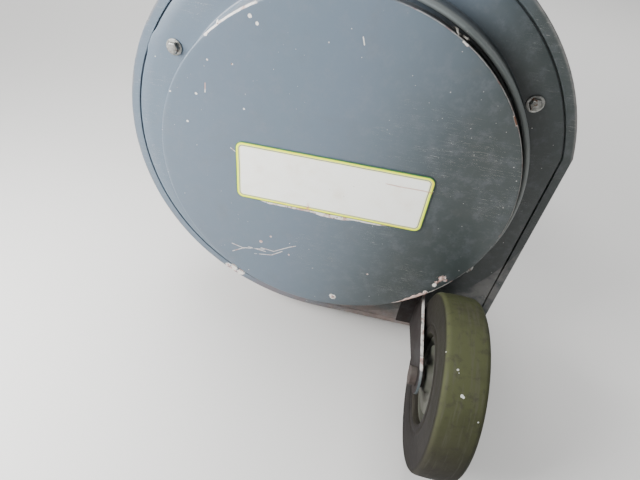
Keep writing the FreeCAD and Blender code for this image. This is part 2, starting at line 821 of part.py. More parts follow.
def blower_housing():
    """Fan shroud over the engine's back, round below and square up to the head."""
    body = new_body("blower_housing", "0", "shroud_front", "drum_axis_height")
    upper = new_sketch(body, "XZ_Plane")
    rectangle(upper, "-fin_half", "0", "fin_half", "head_top - drum_axis_height")
    block = feature(body, "Pad", upper, "shroud_depth", True)
    doc.recompute()
    top = number("head_top") - number("drum_axis_height")
    rounded(body, block, lambda edge: edge.BoundBox.YLength > 1 and edge.BoundBox.ZMin > top - 1
            and edge.BoundBox.XLength < 0.01, "shroud_round")
    disc = new_sketch(body, "XZ_Plane")
    circle(disc, "shroud_radius")
    feature(body, "Pad", disc, "shroud_depth", True)
    node(body)


def recoil_cover():
    """Starter cup with a sloping wall, and the boss that the starter grip sits in."""
    body = new_body("recoil_cover", "0", "recoil_front", "drum_axis_height")
    section = new_sketch(body, "XY_Plane")
    polygon(section, [("0", "0"), ("recoil_radius", "0"), ("recoil_radius", "recoil_wall"),
                      ("recoil_radius - recoil_slope", "recoil_depth"), ("0", "recoil_depth")])
    feature(body, "Revolution", section).ReferenceAxis = (section, ["V_Axis"])
    node(body)


def starter_grip():
    """Handle of the starter rope, home against the starter cup's side."""
    node(box("starter_grip", ("grip_bar", "grip_bar_thick", "grip_bar_thick"), "recoil_radius + tube_gap",
             "recoil_front + grip_bar_seat", "drum_axis_height - grip_bar_thick / 2"))


def fuel_tank():
    """Tank with rounded corners and a round cap, on a flat bracket over the head."""
    body = case_body("fuel_tank", "tank_width", "tank_depth", "tank_height", "0",
                     "recoil_front - tank_depth", "tank_floor", "tank_round")
    cap = new_sketch(body, "XY_Plane", "tank_height")
    circle(cap, "cap_radius", "-cap_side", "tank_depth / 2")
    feature(body, "Pad", cap, "cap_height")
    node(body)
    node(box("tank_bracket", ("tank_plate_width", "tank_plate_depth", "tank_sheet"),
             "-tank_plate_width / 2", "recoil_front - tank_plate_inset - tank_plate_depth", "head_top"))


def level_y(edge):
    """Whether an edge is straight and runs along the machine."""
    bounds = edge.BoundBox
    return bounds.XLength < 0.01 and bounds.ZLength < 0.01 and bounds.YLength > 1


def side_pieces():
    """Muffler on the right of the cylinder, carburettor and air cleaner on its left."""
    body = case_body("muffler", "muffler_width", "muffler_depth", "muffler_height",
                     "fin_half + port_length + muffler_width / 2", "case_middle - muffler_depth / 2",
                     "side_port_z - muffler_height / 2", "muffler_round", level_y)
    port = new_sketch(body, "YZ_Plane", "-port_length - muffler_width / 2")
    circle(port, "port_radius", "muffler_depth / 2", "muffler_height / 2")
    feature(body, "Pad", port, "port_length + muffler_round")
    tail = new_sketch(body, "YZ_Plane", "muffler_width / 2")
    circle(tail, "tail_radius", "tail_back", "tail_height")
    feature(body, "Pad", tail, "tail_length")
    node(body)
    node(cylinder("carburettor", "carburettor_radius", "port_length", "-fin_half - port_length",
                  "case_middle", "side_port_z", "X"))
    node(case_body("air_cleaner", "cleaner_width", "cleaner_depth", "cleaner_height",
                   "-fin_half - port_length - cleaner_width / 2", "case_middle - cleaner_depth / 2",
                   "side_port_z - cleaner_height / 2", "cleaner_round", level_y))


# Handle

def rounded_path(sketch, corners, radius):
    """Open path of straight runs through named corners, with an arc at each inner corner."""
    points = [Vector(number(x), number(y), 0) for x, y in corners]
    runs = [(a, b) for a, b in zip(points, points[1:])]
    guides = []
    for (a, b), (start, end) in zip(runs, zip(corners, corners[1:])):
        guide = sketch.addGeometry(Part.LineSegment(a, b), True)
        pin(sketch, guide, 1, *start)
        pin(sketch, guide, 2, *end)
        guides.append(guide)
    bend = number(radius)
    trims = [0.0]
    for (a, b), (c, d) in zip(runs, runs[1:]):
        turn = (b - a).getAngle(d - c)
        trims.append(bend * math.tan(turn / 2))
    trims.append(0.0)
    lines = []
    for index, (a, b) in enumerate(runs):
        way = (b - a).normalize()
        lines.append(sketch.addGeometry(
            Part.LineSegment(a + way * trims[index], b - way * trims[index + 1])))
    for index in range(len(runs) - 1):
        a, b = runs[index]
        c, d = runs[index + 1]
        before = (b - a).normalize()
        after = (d - c).normalize()
        start = b - before * trims[index + 1]
        end = c + after * trims[index + 1]
        inward = (after - before).normalize()
        centre = b + inward * (bend / math.cos((b - a).getAngle(d - c) / 2))
        middle = centre - inward * bend
        arc = sketch.addGeometry(Part.Arc(start, middle, end))
        low, high = arc_ends(sketch, arc, start)
        sketch.addConstraint(Sketcher.Constraint("Tangent", lines[index], 2, arc, low))
        sketch.addConstraint(Sketcher.Constraint("Tangent", lines[index + 1], 1, arc, high))
        size = sketch.addConstraint(Sketcher.Constraint("Radius", arc, bend))
        sketch.setExpression("Constraints[%d]" % size, formula(radius))
    for index, line in enumerate(lines):
        for end in (1, 2):
            if (index, end) in ((0, 1), (len(lines) - 1, 2)):
                sketch.addConstraint(Sketcher.Constraint("Coincident", line, end, guides[index], end))
            else:
                sketch.addConstraint(
                    Sketcher.Constraint("PointOnObject", line, end, guides[index]))


def arc_ends(sketch, arc, start):
    """Numbers of the arc's end beside a point and of its other end."""
    near = sketch.getPoint(arc, 1).distanceToPoint(start) < sketch.getPoint(arc, 2).distanceToPoint(start)
    return (1, 2) if near else (2, 1)


def handle_tubes():
    """Bent tube on each side of the deck, up to a level grip."""
    corners = [("handle_front", "handle_low"), ("handle_bend", "handle_low"),
               ("grip_start", "handle_top"), ("handle_end", "handle_top")]
    for side, x in (("left", "-handle_x"), ("right", "handle_x")):
        body = new_body("handle_" + side, x)
        path = new_sketch(body, "YZ_Plane")
        rounded_path(path, corners, "bend_radius")
        ring = new_sketch(body, "XZ_Plane", "-handle_front")
        circle(ring, "tube_radius", "0", "handle_low")
        circle(ring, "tube_radius - tube_wall", "0", "handle_low")
        pipe = body.newObject("PartDesign::AdditivePipe", "pipe_" + side)
        pipe.Profile = ring
        pipe.Spine = path
        node(body)
        grip = new_body("grip_" + side, x, "handle_end - grip_length", "handle_top")
        sleeve = new_sketch(grip, "XZ_Plane")
        circle(sleeve, "tube_radius + grip_wall")
        circle(sleeve, "tube_radius")
        feature(grip, "Pad", sleeve, "grip_length", True)
        node(grip)


def handle_cross():
    """Tube between the two handles."""
    share = "((cross_height - handle_low) / (handle_top - handle_low))"
    y = "handle_bend + %s * (grip_start - handle_bend)" % share
    length = "2 * (handle_x - tube_radius - tube_gap)"
    node(cylinder("handle_cross", "tube_radius", length, "-(%s) / 2" % length, y, "cross_height", "X"))


# Build, check and write

def check_document():
    for item in doc.Objects:
        bad = [state for state in item.State if state in ("Invalid", "Error")]
        if bad:
            raise RuntimeError("%s is %s" % (item.Name, bad))
    for item in NODES:
        shape = item.Shape
        if shape.isNull() or not shape.isValid() or not shape.Solids:
            raise RuntimeError("%s has no valid solid" % item.Name)


def write_nodes():
    os.makedirs("parts", exist_ok=True)
    for item in NODES:
        item.Shape.exportStep("parts/%s.step" % item.Label)
        bounds = item.Shape.BoundBox
        print("%-18s %2d %10.0f mm3  x %.1f %.1f  y %.1f %.1f  z %.1f %.1f" % (
            item.Label, len(item.Shape.Solids), item.Shape.Volume, bounds.XMin, bounds.XMax,
            bounds.YMin, bounds.YMax, bounds.ZMin, bounds.ZMax))


def build():
    for piece in (drum_shell, drum_rim, front_cover, blank_plate, back_plate, bearing_housing, rotor,
                  hopper_throat, hopper, outlet_frame, discharge_flap, flap_hinge, wheels, front_axle,
                  front_bracket, deck, axle_brackets, rear_axle, hitch_plate, crankcase,
                  cylinder_block, blower_housing, recoil_cover, starter_grip, fuel_tank, side_pieces,
                  handle_tubes, handle_cross):
        piece()
    doc.recompute()
    check_document()
    write_nodes()


build()
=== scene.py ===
"""Looks of a walk-behind garden shredder: worn slate paint, blank label plate, small wheels and engine.

Everything is in metres. X points to the right of someone facing the front cover, Y runs from the
cover to the handle and Z is up.
"""

import json
import math
from functools import reduce

import bmesh
import bpy
import numpy as np
from mathutils import Matrix, Vector
from numpy.linalg import norm

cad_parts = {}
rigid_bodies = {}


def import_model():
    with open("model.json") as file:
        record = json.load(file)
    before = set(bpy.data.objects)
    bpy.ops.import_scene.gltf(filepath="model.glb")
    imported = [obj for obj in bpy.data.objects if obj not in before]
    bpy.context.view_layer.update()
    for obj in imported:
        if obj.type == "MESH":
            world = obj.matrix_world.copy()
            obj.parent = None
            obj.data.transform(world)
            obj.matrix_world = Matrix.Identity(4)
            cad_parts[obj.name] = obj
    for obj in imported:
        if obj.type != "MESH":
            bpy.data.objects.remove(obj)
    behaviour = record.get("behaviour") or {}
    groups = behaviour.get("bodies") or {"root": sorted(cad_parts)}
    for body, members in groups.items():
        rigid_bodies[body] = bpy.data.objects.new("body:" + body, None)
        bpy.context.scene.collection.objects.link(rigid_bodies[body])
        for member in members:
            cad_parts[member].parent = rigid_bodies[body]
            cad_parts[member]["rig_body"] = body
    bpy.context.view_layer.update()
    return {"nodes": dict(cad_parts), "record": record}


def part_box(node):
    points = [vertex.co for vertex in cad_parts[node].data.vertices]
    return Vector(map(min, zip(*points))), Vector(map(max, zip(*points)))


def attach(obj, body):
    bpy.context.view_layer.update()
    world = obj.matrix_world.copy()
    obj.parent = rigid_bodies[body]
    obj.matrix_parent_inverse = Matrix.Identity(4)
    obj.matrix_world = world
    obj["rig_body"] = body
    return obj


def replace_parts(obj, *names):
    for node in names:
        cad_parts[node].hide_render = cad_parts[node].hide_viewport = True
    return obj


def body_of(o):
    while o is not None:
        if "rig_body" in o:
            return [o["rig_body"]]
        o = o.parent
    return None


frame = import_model()

TURN = 2 * math.pi


# Places read from the frame

def middle(node):
    """Centre of a node's box."""
    low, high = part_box(node)
    return (low + high) / 2


def size(node):
    """Width, depth and height of a node's box."""
    low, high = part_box(node)
    return high - low


RIM_LOW, RIM_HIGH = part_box("drum_rim")
DRUM_RADIUS = -RIM_LOW.x
DRUM_FLAT = DRUM_RADIUS - RIM_HIGH.x
AXIS_Z = (RIM_HIGH.z + RIM_LOW.z) / 2
PLATE_Y = RIM_LOW.y
COVER_RADIUS = -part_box("front_cover")[0].x
PAN_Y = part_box("front_cover")[0].y
COVER_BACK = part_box("front_cover")[1].y
LABEL_LOW, LABEL_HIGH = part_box("blank_plate")
LABEL_HALF_WIDTH = (LABEL_HIGH.x - LABEL_LOW.x) / 2
LABEL_HALF_HEIGHT = (LABEL_HIGH.z - LABEL_LOW.z) / 2

# Sizes of the looks, and angles in degrees

PAN_RADIUS = 0.188
PAN_FOOT_RADIUS = 0.19
BEAD_RADIUS = 0.1935
BULGE_ANGLE = 152
BULGE_WIDTH = 3.0
BULGE_HEIGHT = 0.0018
PAN_WAVE = 0.0005
SHEET = 0.003
COVER_GROWTH = 0.0012
CORNER_SHARPNESS = 60
SCREW_CIRCLE = 0.207
SCREW_ANGLES = (32.6, 90, 149.3, 210, 270, 330)
BACK_BOLT_CIRCLE = 0.226
SHROUD_BOLT_CIRCLE = 0.093
SHROUD_BOLT_ANGLES = (52, 128, 232, 308)
LABEL_CORNER = 0.008
WASHER_THICK = 0.0014
HEAD_CHAMFER = 0.0009
HEAD_CURVE = 0.0004
WELD_THICK = 0.0022
EDGE_ANGLE = 35
POLE = 0.0001

RIGHT, LEFT = (1, 0, 0), (-1, 0, 0)
BACK, FRONT = (0, 1, 0), (0, -1, 0)
UP, DOWN = (0, 0, 1), (0, 0, -1)
SIDES = ((-1, LEFT, "left"), (1, RIGHT, "right"))


# Meshes

def put(name, data):
    """New object in the scene, at the origin."""
    item = bpy.data.objects.new(name, data)
    bpy.context.scene.collection.objects.link(item)
    return item


def coat(item, finish):
    """Gives an object one finish."""
    item.data.materials.clear()
    item.data.materials.append(finish)


def dress(item, finish, body, smooth):
    """Gives an object its finish and its body, and shades it smooth up to an angle."""
    coat(item, finish)
    item.data.shade_smooth()
    item.data.set_sharp_from_angle(angle=math.radians(smooth))
    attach(item, body)
    return item


def grid_faces(rows, columns, wrap_rows):
    """Quads between neighbours of a grid of points numbered row by row, closed round its columns."""
    r, c = np.mgrid[:rows if wrap_rows else rows - 1, :columns]
    r2, c2 = (r + 1) % rows, (c + 1) % columns
    quads = [r * columns + c, r * columns + c2, r2 * columns + c2, r2 * columns + c]
    return np.stack(quads, axis=-1).reshape(-1, 4)


def joined(name, groups, slot, finish=None, body="chassis", smooth=40, wrap_rows=False):
    """One piece from several grids of points, each an array of rows by columns by 3."""
    vertices, faces, start = [], [], 0
    for points in groups:
        rows, columns = points.shape[:2]
        vertices.append(points.reshape(-1, 3))
        faces.append(grid_faces(rows, columns, wrap_rows) + start)
        start += rows * columns
    mesh = bpy.data.meshes.new(name)
    mesh.from_pydata(np.concatenate(vertices).tolist(), [], np.concatenate(faces).tolist())
    work = bmesh.new()
    work.from_mesh(mesh)
    bmesh.ops.remove_doubles(work, verts=work.verts, dist=1e-6)
    bmesh.ops.dissolve_degenerate(work, edges=work.edges, dist=1e-7)
    bmesh.ops.recalc_face_normals(work, faces=work.faces)
    work.to_mesh(mesh)
    work.free()
    return dress(put(name, mesh), finish or FINISHES[slot], body, smooth)


def around(count):
    """Angles of a full turn in equal steps."""
    return np.arange(count) * TURN / count


def spokes(axis, angle):
    """An axis made one long, and the unit vectors square to it at some angles."""
    axis = np.array(axis, float) / norm(axis)
    helper = np.array([0, 0, 1.0]) if abs(axis[2]) < 0.9 else np.array([1.0, 0, 0])
    side = np.cross(helper, axis)
    side /= norm(side)
    up = np.cross(axis, side)
    return axis, np.cos(angle)[:, None] * side + np.sin(angle)[:, None] * up


def turned(profile, centre, axis, steps=96, sides=0, ripple=(0, 0)):
    """Profile of (along, radius) pairs turned about an axis: centre + along * axis + radius * spoke.

    With sides, each ring is a regular polygon whose corners are at the radius. With ripple, a count
    and a depth, the radius is scaled by 1 - depth * (1 - cos(count * angle)) / 2.
    """
    along, radius = np.array(profile, float).T[..., None, None]
    angle = around(steps)
    shape = 1 - ripple[1] * (1 - np.cos(ripple[0] * angle)) / 2
    if sides:
        wedge = TURN / sides
        shape = math.cos(wedge / 2) / np.cos((angle % wedge) - wedge / 2)
    axis, spoke = spokes(axis, angle)
    return np.array(centre, float) + along * axis + radius * (spoke * shape[:, None])


def eased_line(corners, radius, steps=5):
    """Open outline with a short curve at each inner corner, on the corner's two tangents."""
    points = [np.array(corner, float) for corner in corners]
    out = [points[0]]
    share = np.linspace(0, 1, steps)[:, None]
    for before, corner, after in zip(points, points[1:], points[2:]):
        a, b = before - corner, after - corner
        reach = min(radius, 0.45 * norm(a), 0.45 * norm(b))
        start = corner + a / norm(a) * reach
        end = corner + b / norm(b) * reach
        out.extend((1 - share) ** 2 * start + 2 * share * (1 - share) * corner + share ** 2 * end)
    out.append(points[-1])
    return np.array(out)


def closed(corners):
    """Corners of a turned profile, with a point at the axis before the first and after the last."""
    return [(corners[0][0], POLE), *corners, (corners[-1][0], POLE)]


def lathe(name, corners, curve, place, axis, steps, slot, ripple=(0, 0)):
    """Turned piece, closed at both ends, with a short curve at each corner."""
    profile = eased_line(closed(corners), curve)
    joined(name, [turned(profile, place, axis, steps, ripple=ripple)], slot)


def bolt(place, axis, width, head, washer=0.0):
    """Hexagon head with a chamfered top on a plain washer, standing on a place along an axis."""
    corner = width / 2 / math.cos(TURN / 12)
    plate = WASHER_THICK if washer else 0.0
    top = head + plate
    hexagon = closed([(plate, corner), (top - HEAD_CHAMFER, corner), (top, corner * 0.86)])
    groups = [turned(eased_line(hexagon, HEAD_CURVE, 3), place, axis, 24, 6)]
    if washer:
        disc = closed([(0, washer), (plate, washer)])
        groups.append(turned(eased_line(disc, HEAD_CURVE, 3), place, axis, 32))
    return groups


def bolts(name, places, axis, slot="steel", finish=None, **sizes):
    """One piece with a bolt at each place."""
    groups = [points for place in places for points in bolt(place, axis, **sizes)]
    joined(name, groups, slot, finish, smooth=30)


def weld_ring(centre, axis, radius):
    """Fillet of weld round a tube's end: a small ring whose thickness ripples along its length."""
    angle, section = around(120), around(10)
    axis, spoke = spokes(axis, angle)
    bulge = WELD_THICK * (1 + 0.22 * np.sin(23 * angle) + 0.12 * np.sin(41 * angle + 1))
    reach = radius + bulge * np.cos(section)[:, None]
    rise = bulge * np.sin(section)[:, None]
    return np.array(centre, float) + reach[..., None] * spoke + rise[..., None] * axis


def about_axis(reach, angle, y):
    """Places at a distance and an angle from the drum's axis."""
    reach, angle, y = np.broadcast_arrays(reach, angle, y)
    return np.stack([reach * np.cos(angle), y, AXIS_Z + reach * np.sin(angle)], axis=-1)


def rounded_rectangle(half_width, half_height, corner, steps=96):
    """Points round a rectangle with round corners: each corner's centre plus its arc."""
    angle = (np.arange(steps) + 0.5) * TURN / steps
    across, up = np.cos(angle), np.sin(angle)
    return np.stack([np.sign(across) * (half_width - corner) + corner * across,
                     np.sign(up) * (half_height - corner) + corner * up], axis=-1)


def laid(outline, centre, across, up):
    """Flat outline laid in the plane of two of the three coordinates, round a centre."""
    points = np.tile(np.array(centre, float), (len(outline), 1))
    points[:, (across, up)] += outline
    return points


def eased(node, finish, width):
    """Copy of a node with bevelled edges, which stands for it."""
    source = frame["nodes"][node]
    item = put(node + "_looks", source.data.copy())
    work = bmesh.new()
    work.from_mesh(item.data)
    bmesh.ops.remove_doubles(work, verts=work.verts, dist=2e-6)
    bmesh.ops.recalc_face_normals(work, faces=work.faces)
    bmesh.ops.dissolve_limit(work, angle_limit=math.radians(1), verts=work.verts, edges=work.edges)
    work.to_mesh(item.data)
    work.free()
    dress(item, finish, body_of(source)[0], EDGE_ANGLE)
    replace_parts(item, node)
    bevel = item.modifiers.new("edge", "BEVEL")
    bevel.width = width
    bevel.segments = 2
    bevel.limit_method = "ANGLE"
    bevel.angle_limit = math.radians(EDGE_ANGLE)
    bevel.harden_normals = True


# Materials

# Numbers of a Mix node's sockets when it mixes colours.
MIX_SHARE, MIX_FIRST, MIX_SECOND, MIX_RESULT = 0, 6, 7, 2


def maths(operation, swapped=False):
    """Operator of a Field that adds a Math node to its finish."""
    def method(field, *others):
        values = (*others, field) if swapped else (field, *others)
        return field.finish.node("Math", {"operation": operation}, values)
    return method


class Field:
    """A value that varies over a surface. Its operators add Math nodes to the finish."""

    def __init__(self, finish, socket):
        self.finish = finish
        self.socket = socket

    __add__ = __radd__ = maths("ADD")
    __mul__ = __rmul__ = maths("MULTIPLY")
    __sub__ = maths("SUBTRACT")
    __rsub__ = maths("SUBTRACT", swapped=True)
    __truediv__ = maths("DIVIDE")
    __pow__ = maths("POWER")
    abs = maths("ABSOLUTE")
    max = maths("MAXIMUM")
    min = maths("MINIMUM")
    angle_from = maths("ARCTAN2")

    def ramp(self, low, high):
        """Smooth step from 0 at low to 1 at high, which may be the smaller one."""
        return self.finish.node("MapRange", {"interpolation_type": "SMOOTHSTEP"},
                                {"Value": self, "From Min": low, "From Max": high})

    def band(self, centre, half, soft):
        """1 within a distance of a value, falling to 0 over a soft edge."""
        return (self - centre).abs().ramp(half + soft, half)


def length(first, *others):
    """Length of a vector whose parts are fields."""
    return sum((part ** 2 for part in others), first ** 2) ** 0.5


class Finish:
    """A material on a Principled shader, with its patterns in the object's own coordinates."""

    def __init__(self, name, **constants):
        self.material = bpy.data.materials.new(name)
        self.material.use_nodes = True
        tree = self.material.node_tree
        self.nodes, self.links = tree.nodes, tree.links
        self.shader = next(n for n in self.nodes if n.type == "BSDF_PRINCIPLED")
        self.feed(**constants)
        self.place = self.node("TexCoord", output="Object")
        self.x, self.y, self.z = self.split(self.place)

    def plug(self, socket, value):
        """Links a field to a socket, or gives the socket a plain value."""
        if isinstance(value, Field):
            self.links.new(value.socket, socket)
        else:
            socket.default_value = value

    def node(self, kind, settings=(), inputs=(), output=0):
        """Adds a node, makes its settings, then feeds its sockets with values or fields."""
        made = self.nodes.new("ShaderNode" + kind)
        for name, value in dict(settings).items():
            setattr(made, name, value)
        for name, value in (inputs.items() if isinstance(inputs, dict) else enumerate(inputs)):
            self.plug(made.inputs[name], value)
        return Field(self, made.outputs[output])

    def split(self, vector):
        """The three parts of a vector."""
        first = self.node("SeparateXYZ", inputs=[vector])
        return [Field(self, socket) for socket in first.socket.node.outputs]

    def feed(self, **sockets):
        """Feeds the shader's sockets with values or fields."""
        for name, value in sockets.items():
            name = name.replace("_", " ").title().replace("Ior", "IOR")
            self.plug(self.shader.inputs[name], value)
        return self.material

    def stretched(self, scale, turn=(0, 0, 0)):
        """The object's coordinates, turned and scaled."""
        return self.node("Mapping", inputs={"Vector": self.place, "Rotation": turn, "Scale": scale})

    def noise(self, scale, detail=3, rough=0.6, at=None):
        """Cloudy noise about 0.5."""
        sockets = {"Vector": at or self.place, "Scale": scale, "Detail": detail, "Roughness": rough}
        return self.node("TexNoise", inputs=sockets)

    def specks(self, scale, width, share):
        """Round specks near the centres of a share of random cells."""
        gap = self.node("TexVoronoi", inputs={"Vector": self.place, "Scale": scale})
        chance = self.split(Field(self, gap.socket.node.outputs["Color"]))[0]
        return gap.ramp(width, width * 0.6) * chance.ramp(1 - share, 1 - share * 0.85)

    def facing_up(self):
        """1 on level tops, 0 on walls and undersides."""
        return self.split(self.node("NewGeometry", output="Normal"))[2].ramp(0.55, 0.98)

    def blend(self, first, second, share):
        """Colour that goes from the first to the second as the share goes from 0 to 1."""
        first, second = [end if isinstance(end, Field) else (*end, 1) for end in (first, second)]
        sockets = {MIX_SHARE: share, MIX_FIRST: first, MIX_SECOND: second}
        return self.node("Mix", {"data_type": "RGBA"}, sockets, MIX_RESULT)

    def tint(self, colour, share):
        """Lays a colour over the finish's own by a share."""
        self.colour = self.blend(self.colour, colour, share)

    def done(self, rough, height, depth, strength):
        """Feeds the colour, a roughness and a relief whose full range is a depth in metres."""
        sockets = {"Strength": strength, "Distance": depth, "Height": height}
        relief = self.node("Bump", inputs=sockets)
        return self.feed(base_color=self.colour, roughness=rough, normal=relief)


SLATE = (0.066, 0.08, 0.084)
SLATE_FADED = (0.092, 0.11, 0.116)
# Painted shade: darker slate laid over the cover's right and lower side, where the light falls off.
SLATE_SHADE = (0.03, 0.038, 0.037)
# Painted light with a pale bluish film, laid over the cover's left side, where the light is strongest.
PALE_FILM_AND_LIGHT = (0.104, 0.141, 0.184)
GRIME = (0.1, 0.095, 0.085)
MUD = (0.185, 0.118, 0.098)
DUST = (0.46, 0.44, 0.42)
PRIMER = (0.5, 0.3, 0.26)
CHALK = (0.74, 0.71, 0.66)
RUST = (0.13, 0.055, 0.03)
OLD_RUST = (0.1, 0.045, 0.02)
# Near black: dirt with painted shade on the front bracket's left face.
DIRT_AND_SHADE_BLACK = (0.015, 0.01, 0.009)
# Painted shade for the cover's channel.
GROOVE_SHADE = (0.012, 0.014, 0.013)
# Painted highlight with dust, for the cover's bead.
BEAD_DUST_AND_HIGHLIGHT = (0.2, 0.22, 0.21)
RIM_GREY = (0.2, 0.19, 0.18)
MOTTLE = (0.165, 0.172, 0.196)
CREAM = (0.96, 0.96, 0.9)
OLD_CREAM = (0.86, 0.81, 0.7)
GREEN_YELLOW = (0.86, 0.96, 0.0)
ORANGE_YELLOW = (0.84, 0.66, 0.0)
PALE_YELLOW = (0.9, 0.88, 0.45)
OLIVE = (0.07, 0.1, 0.03)
DARK_GREEN = (0.03, 0.14, 0.05)
STAIN = (0.5, 0.24, 0.14)
# Green laid over the tyre, stronger towards its top.
TREAD_GREEN = (0.055, 0.06, 0.026)


def cover_tints(made, clouds, patches):
    """Painted light over a pale film on the left, painted shade to the right and low down, painted shade in
    the channel, a painted highlight with dust on the bead, and dust at the rim's edge.
    """
    # Painted light and shade: the slate darkens to the right and low down, and a pale film with painted light
    # brightens the left.
    across = made.x + (clouds - 0.5) * 0.08 - (made.z - AXIS_Z) * 0.2
    made.tint(SLATE_SHADE, across.ramp(-0.02, 0.12) * 0.9)
    made.tint(PALE_FILM_AND_LIGHT, across.ramp(0.14, -0.05) * 0.92)
    reach = length(made.x, made.z - AXIS_Z)
    groove = made.y.ramp(PAN_Y + 0.0028, PAN_Y + 0.005)
    groove = groove * reach.ramp(BEAD_RADIUS - 0.0012, BEAD_RADIUS - 0.0026)
    # Painted shade in the channel, only on the right, where the light does not reach.
    made.tint(GROOVE_SHADE, groove * made.x.ramp(0.02, 0.1) * 0.95)
    # Painted highlight, with dust, on the bead's front at the right.
    bead = made.y.ramp(PLATE_Y - 0.004, PAN_Y + 0.016) * reach.band(BEAD_RADIUS, 0.003, 0.0012)
    made.tint(BEAD_DUST_AND_HIGHLIGHT, bead * made.x.ramp(-0.02, 0.06) * 0.75)
    outer = reach.ramp(DRUM_RADIUS - 0.003, DRUM_RADIUS - 0.001) * patches.ramp(0.35, 0.6)
    made.tint(RIM_GREY, outer * 0.6)


def worn_paint(name, wear, mud_height=0.16, shaded_and_hazy=False, rust_and_shade_colour=RUST, shine=0.5):
    """Semi-gloss paint, cloudily faded, with specks, fine scratches, mud low down and dust on tops.

    wear returns two masks from the finish: bare metal or primer, and rust, which on the bracket is dirt with
    painted shade. The cover also gets painted light and shade.
    """
    made = Finish(name, specular_ior_level=shine)
    clouds = made.noise(6, 4)
    patches = made.noise(30, 4)
    made.colour = made.blend(SLATE, SLATE_FADED, clouds.ramp(0.35, 0.7) * 0.7)
    # The cover gets painted light and shade, with its film, channel, bead and rim.
    if shaded_and_hazy:
        cover_tints(made, clouds, patches)
    made.tint(GRIME, patches.ramp(0.5, 0.8) * 0.16)
    mottle = made.noise(75, 5, 0.75)
    made.tint(MOTTLE, mottle.ramp(0.45, 0.75) * 0.22)
    low = ((made.noise(20, 4, 0.65) - 0.5) * 0.16 + made.z).ramp(mud_height, 0.02)
    made.tint(MUD, low * 0.55)
    made.tint(DUST, made.facing_up() * patches.ramp(0.2, 0.65) * 0.3)
    specks = made.specks(55, 0.045, 0.3).max(made.specks(130, 0.075, 0.16) * 0.8)
    specks = specks.max(made.specks(260, 0.12, 0.2) * made.noise(14).ramp(0.52, 0.62) * 0.8)
    lines = made.noise(9, 2, 0.5, made.stretched((2.2, 60, 60), (0.4, 0.7, 0.3)))
    scratches = lines.band(0.5, 0.0, 0.0035) * clouds.ramp(0.5, 0.62) * 0.5
    light = specks.max(scratches)
    made.tint(made.blend(DUST, CHALK, patches.ramp(0.45, 0.55)), light)
    bare, rusty = wear(made)
    made.tint(made.blend(PRIMER, CHALK, made.noise(120).ramp(0.36, 0.5)), bare)
    # Rust, which on the bracket is dirt with painted shade.
    made.tint(rust_and_shade_colour, rusty)
    gone = bare.max(rusty)
    rough = clouds * 0.14 + 0.34 + light * 0.3 + low * 0.25 + gone * 0.3
    height = made.noise(420, 2, 0.5) * 0.25 + mottle * 0.5 + light * 0.5 - gone
    return made.done(rough, height, 0.00022, 0.5)


# Chips at the front: place across, height and radius.
CHIPS = (
    (-0.199, 0.293, 0.0034), (-0.1945, 0.213, 0.0022), (0.012, 0.056, 0.0038),
    (0.024, 0.055, 0.0024), (0.1471, 0.1763, 0.0052), (0.141, 0.164, 0.003),
    (0.1345, 0.1475, 0.003), (0.0226, 0.1035, 0.0042), (-0.1293, 0.4113, 0.0024),
    (-0.0814, 0.4266, 0.0013), (-0.0875, 0.4316, 0.0015), (-0.1289, 0.3884, 0.0011),
    (-0.1051, 0.3883, 0.0012), (0.06, 0.158, 0.0012), (-0.1699, 0.351, 0.0012),
    (-0.1429, 0.3532, 0.0011), (-0.0945, 0.3463, 0.0011), (-0.076, 0.1758, 0.0019),
    (-0.187, 0.332, 0.0017), (-0.155, 0.322, 0.0012), (-0.064, 0.187, 0.0013),
    (-0.04, 0.163, 0.0012), (-0.128, 0.0775, 0.0075), (-0.118, 0.0715, 0.006),
    (-0.135, 0.0825, 0.004))
# Worn stretches of the pan's edge: angle and half the stretch in degrees, and how much paint is gone.
WORN_STRETCHES = ((125, 8, 1.0), (60.5, 0.8, 1.3), (35, 1.4, 1.2), (-20, 18, 0.45), (-45, 12, 0.8))
# Scratches on the pan: both ends, across and height.
STROKES = (
    (-0.1137, 0.1625, -0.0978, 0.158), (-0.1132, 0.1491, -0.0978, 0.1591),
    (-0.0978, 0.1591, -0.0717, 0.1634), (-0.0841, 0.1526, -0.062, 0.1562),
    (-0.062, 0.1562, -0.0489, 0.1661), (-0.0759, 0.165, -0.0595, 0.1632),
    (-0.0595, 0.1632, -0.04, 0.1758), (-0.04, 0.1758, -0.0323, 0.1796),
    (-0.092, 0.1622, -0.07, 0.16), (-0.1327, 0.3656, -0.1335, 0.3565),
    (-0.11, 0.3, -0.104, 0.296), (0.01, 0.43, 0.012, 0.424))
STROKE_HALF = 0.0003


def stroke(made, x0, z0, x1, z1):
    """Thin line between two places: 1 where the distance to the line is under half its width."""
    run, rise = x1 - x0, z1 - z0
    square = run ** 2 + rise ** 2
    across, up = made.x - x0, made.z - z0
    share = (across * (run / square) + up * (rise / square)).max(0.0).min(1.0)
    return length(across - share * run, up - share * rise).ramp(STROKE_HALF * 2, STROKE_HALF)


def torn_glue(made, fine, front):
    """Ragged strip of torn glue under the label's lower edge, wider in its middle."""
    wedge = made.x.band(-0.004, 0.06, 0.02) * 0.0032 + made.x.band(0.006, 0.01, 0.016) * 0.0028
    glue = (LABEL_LOW.z - made.z + (fine - 0.5) * 0.0022 - wedge).ramp(0.0005, -0.0004) * front
    return glue * made.x.band(0.0, 0.078, 0.004) * (made.z - LABEL_LOW.z).ramp(0.002, 0.0)


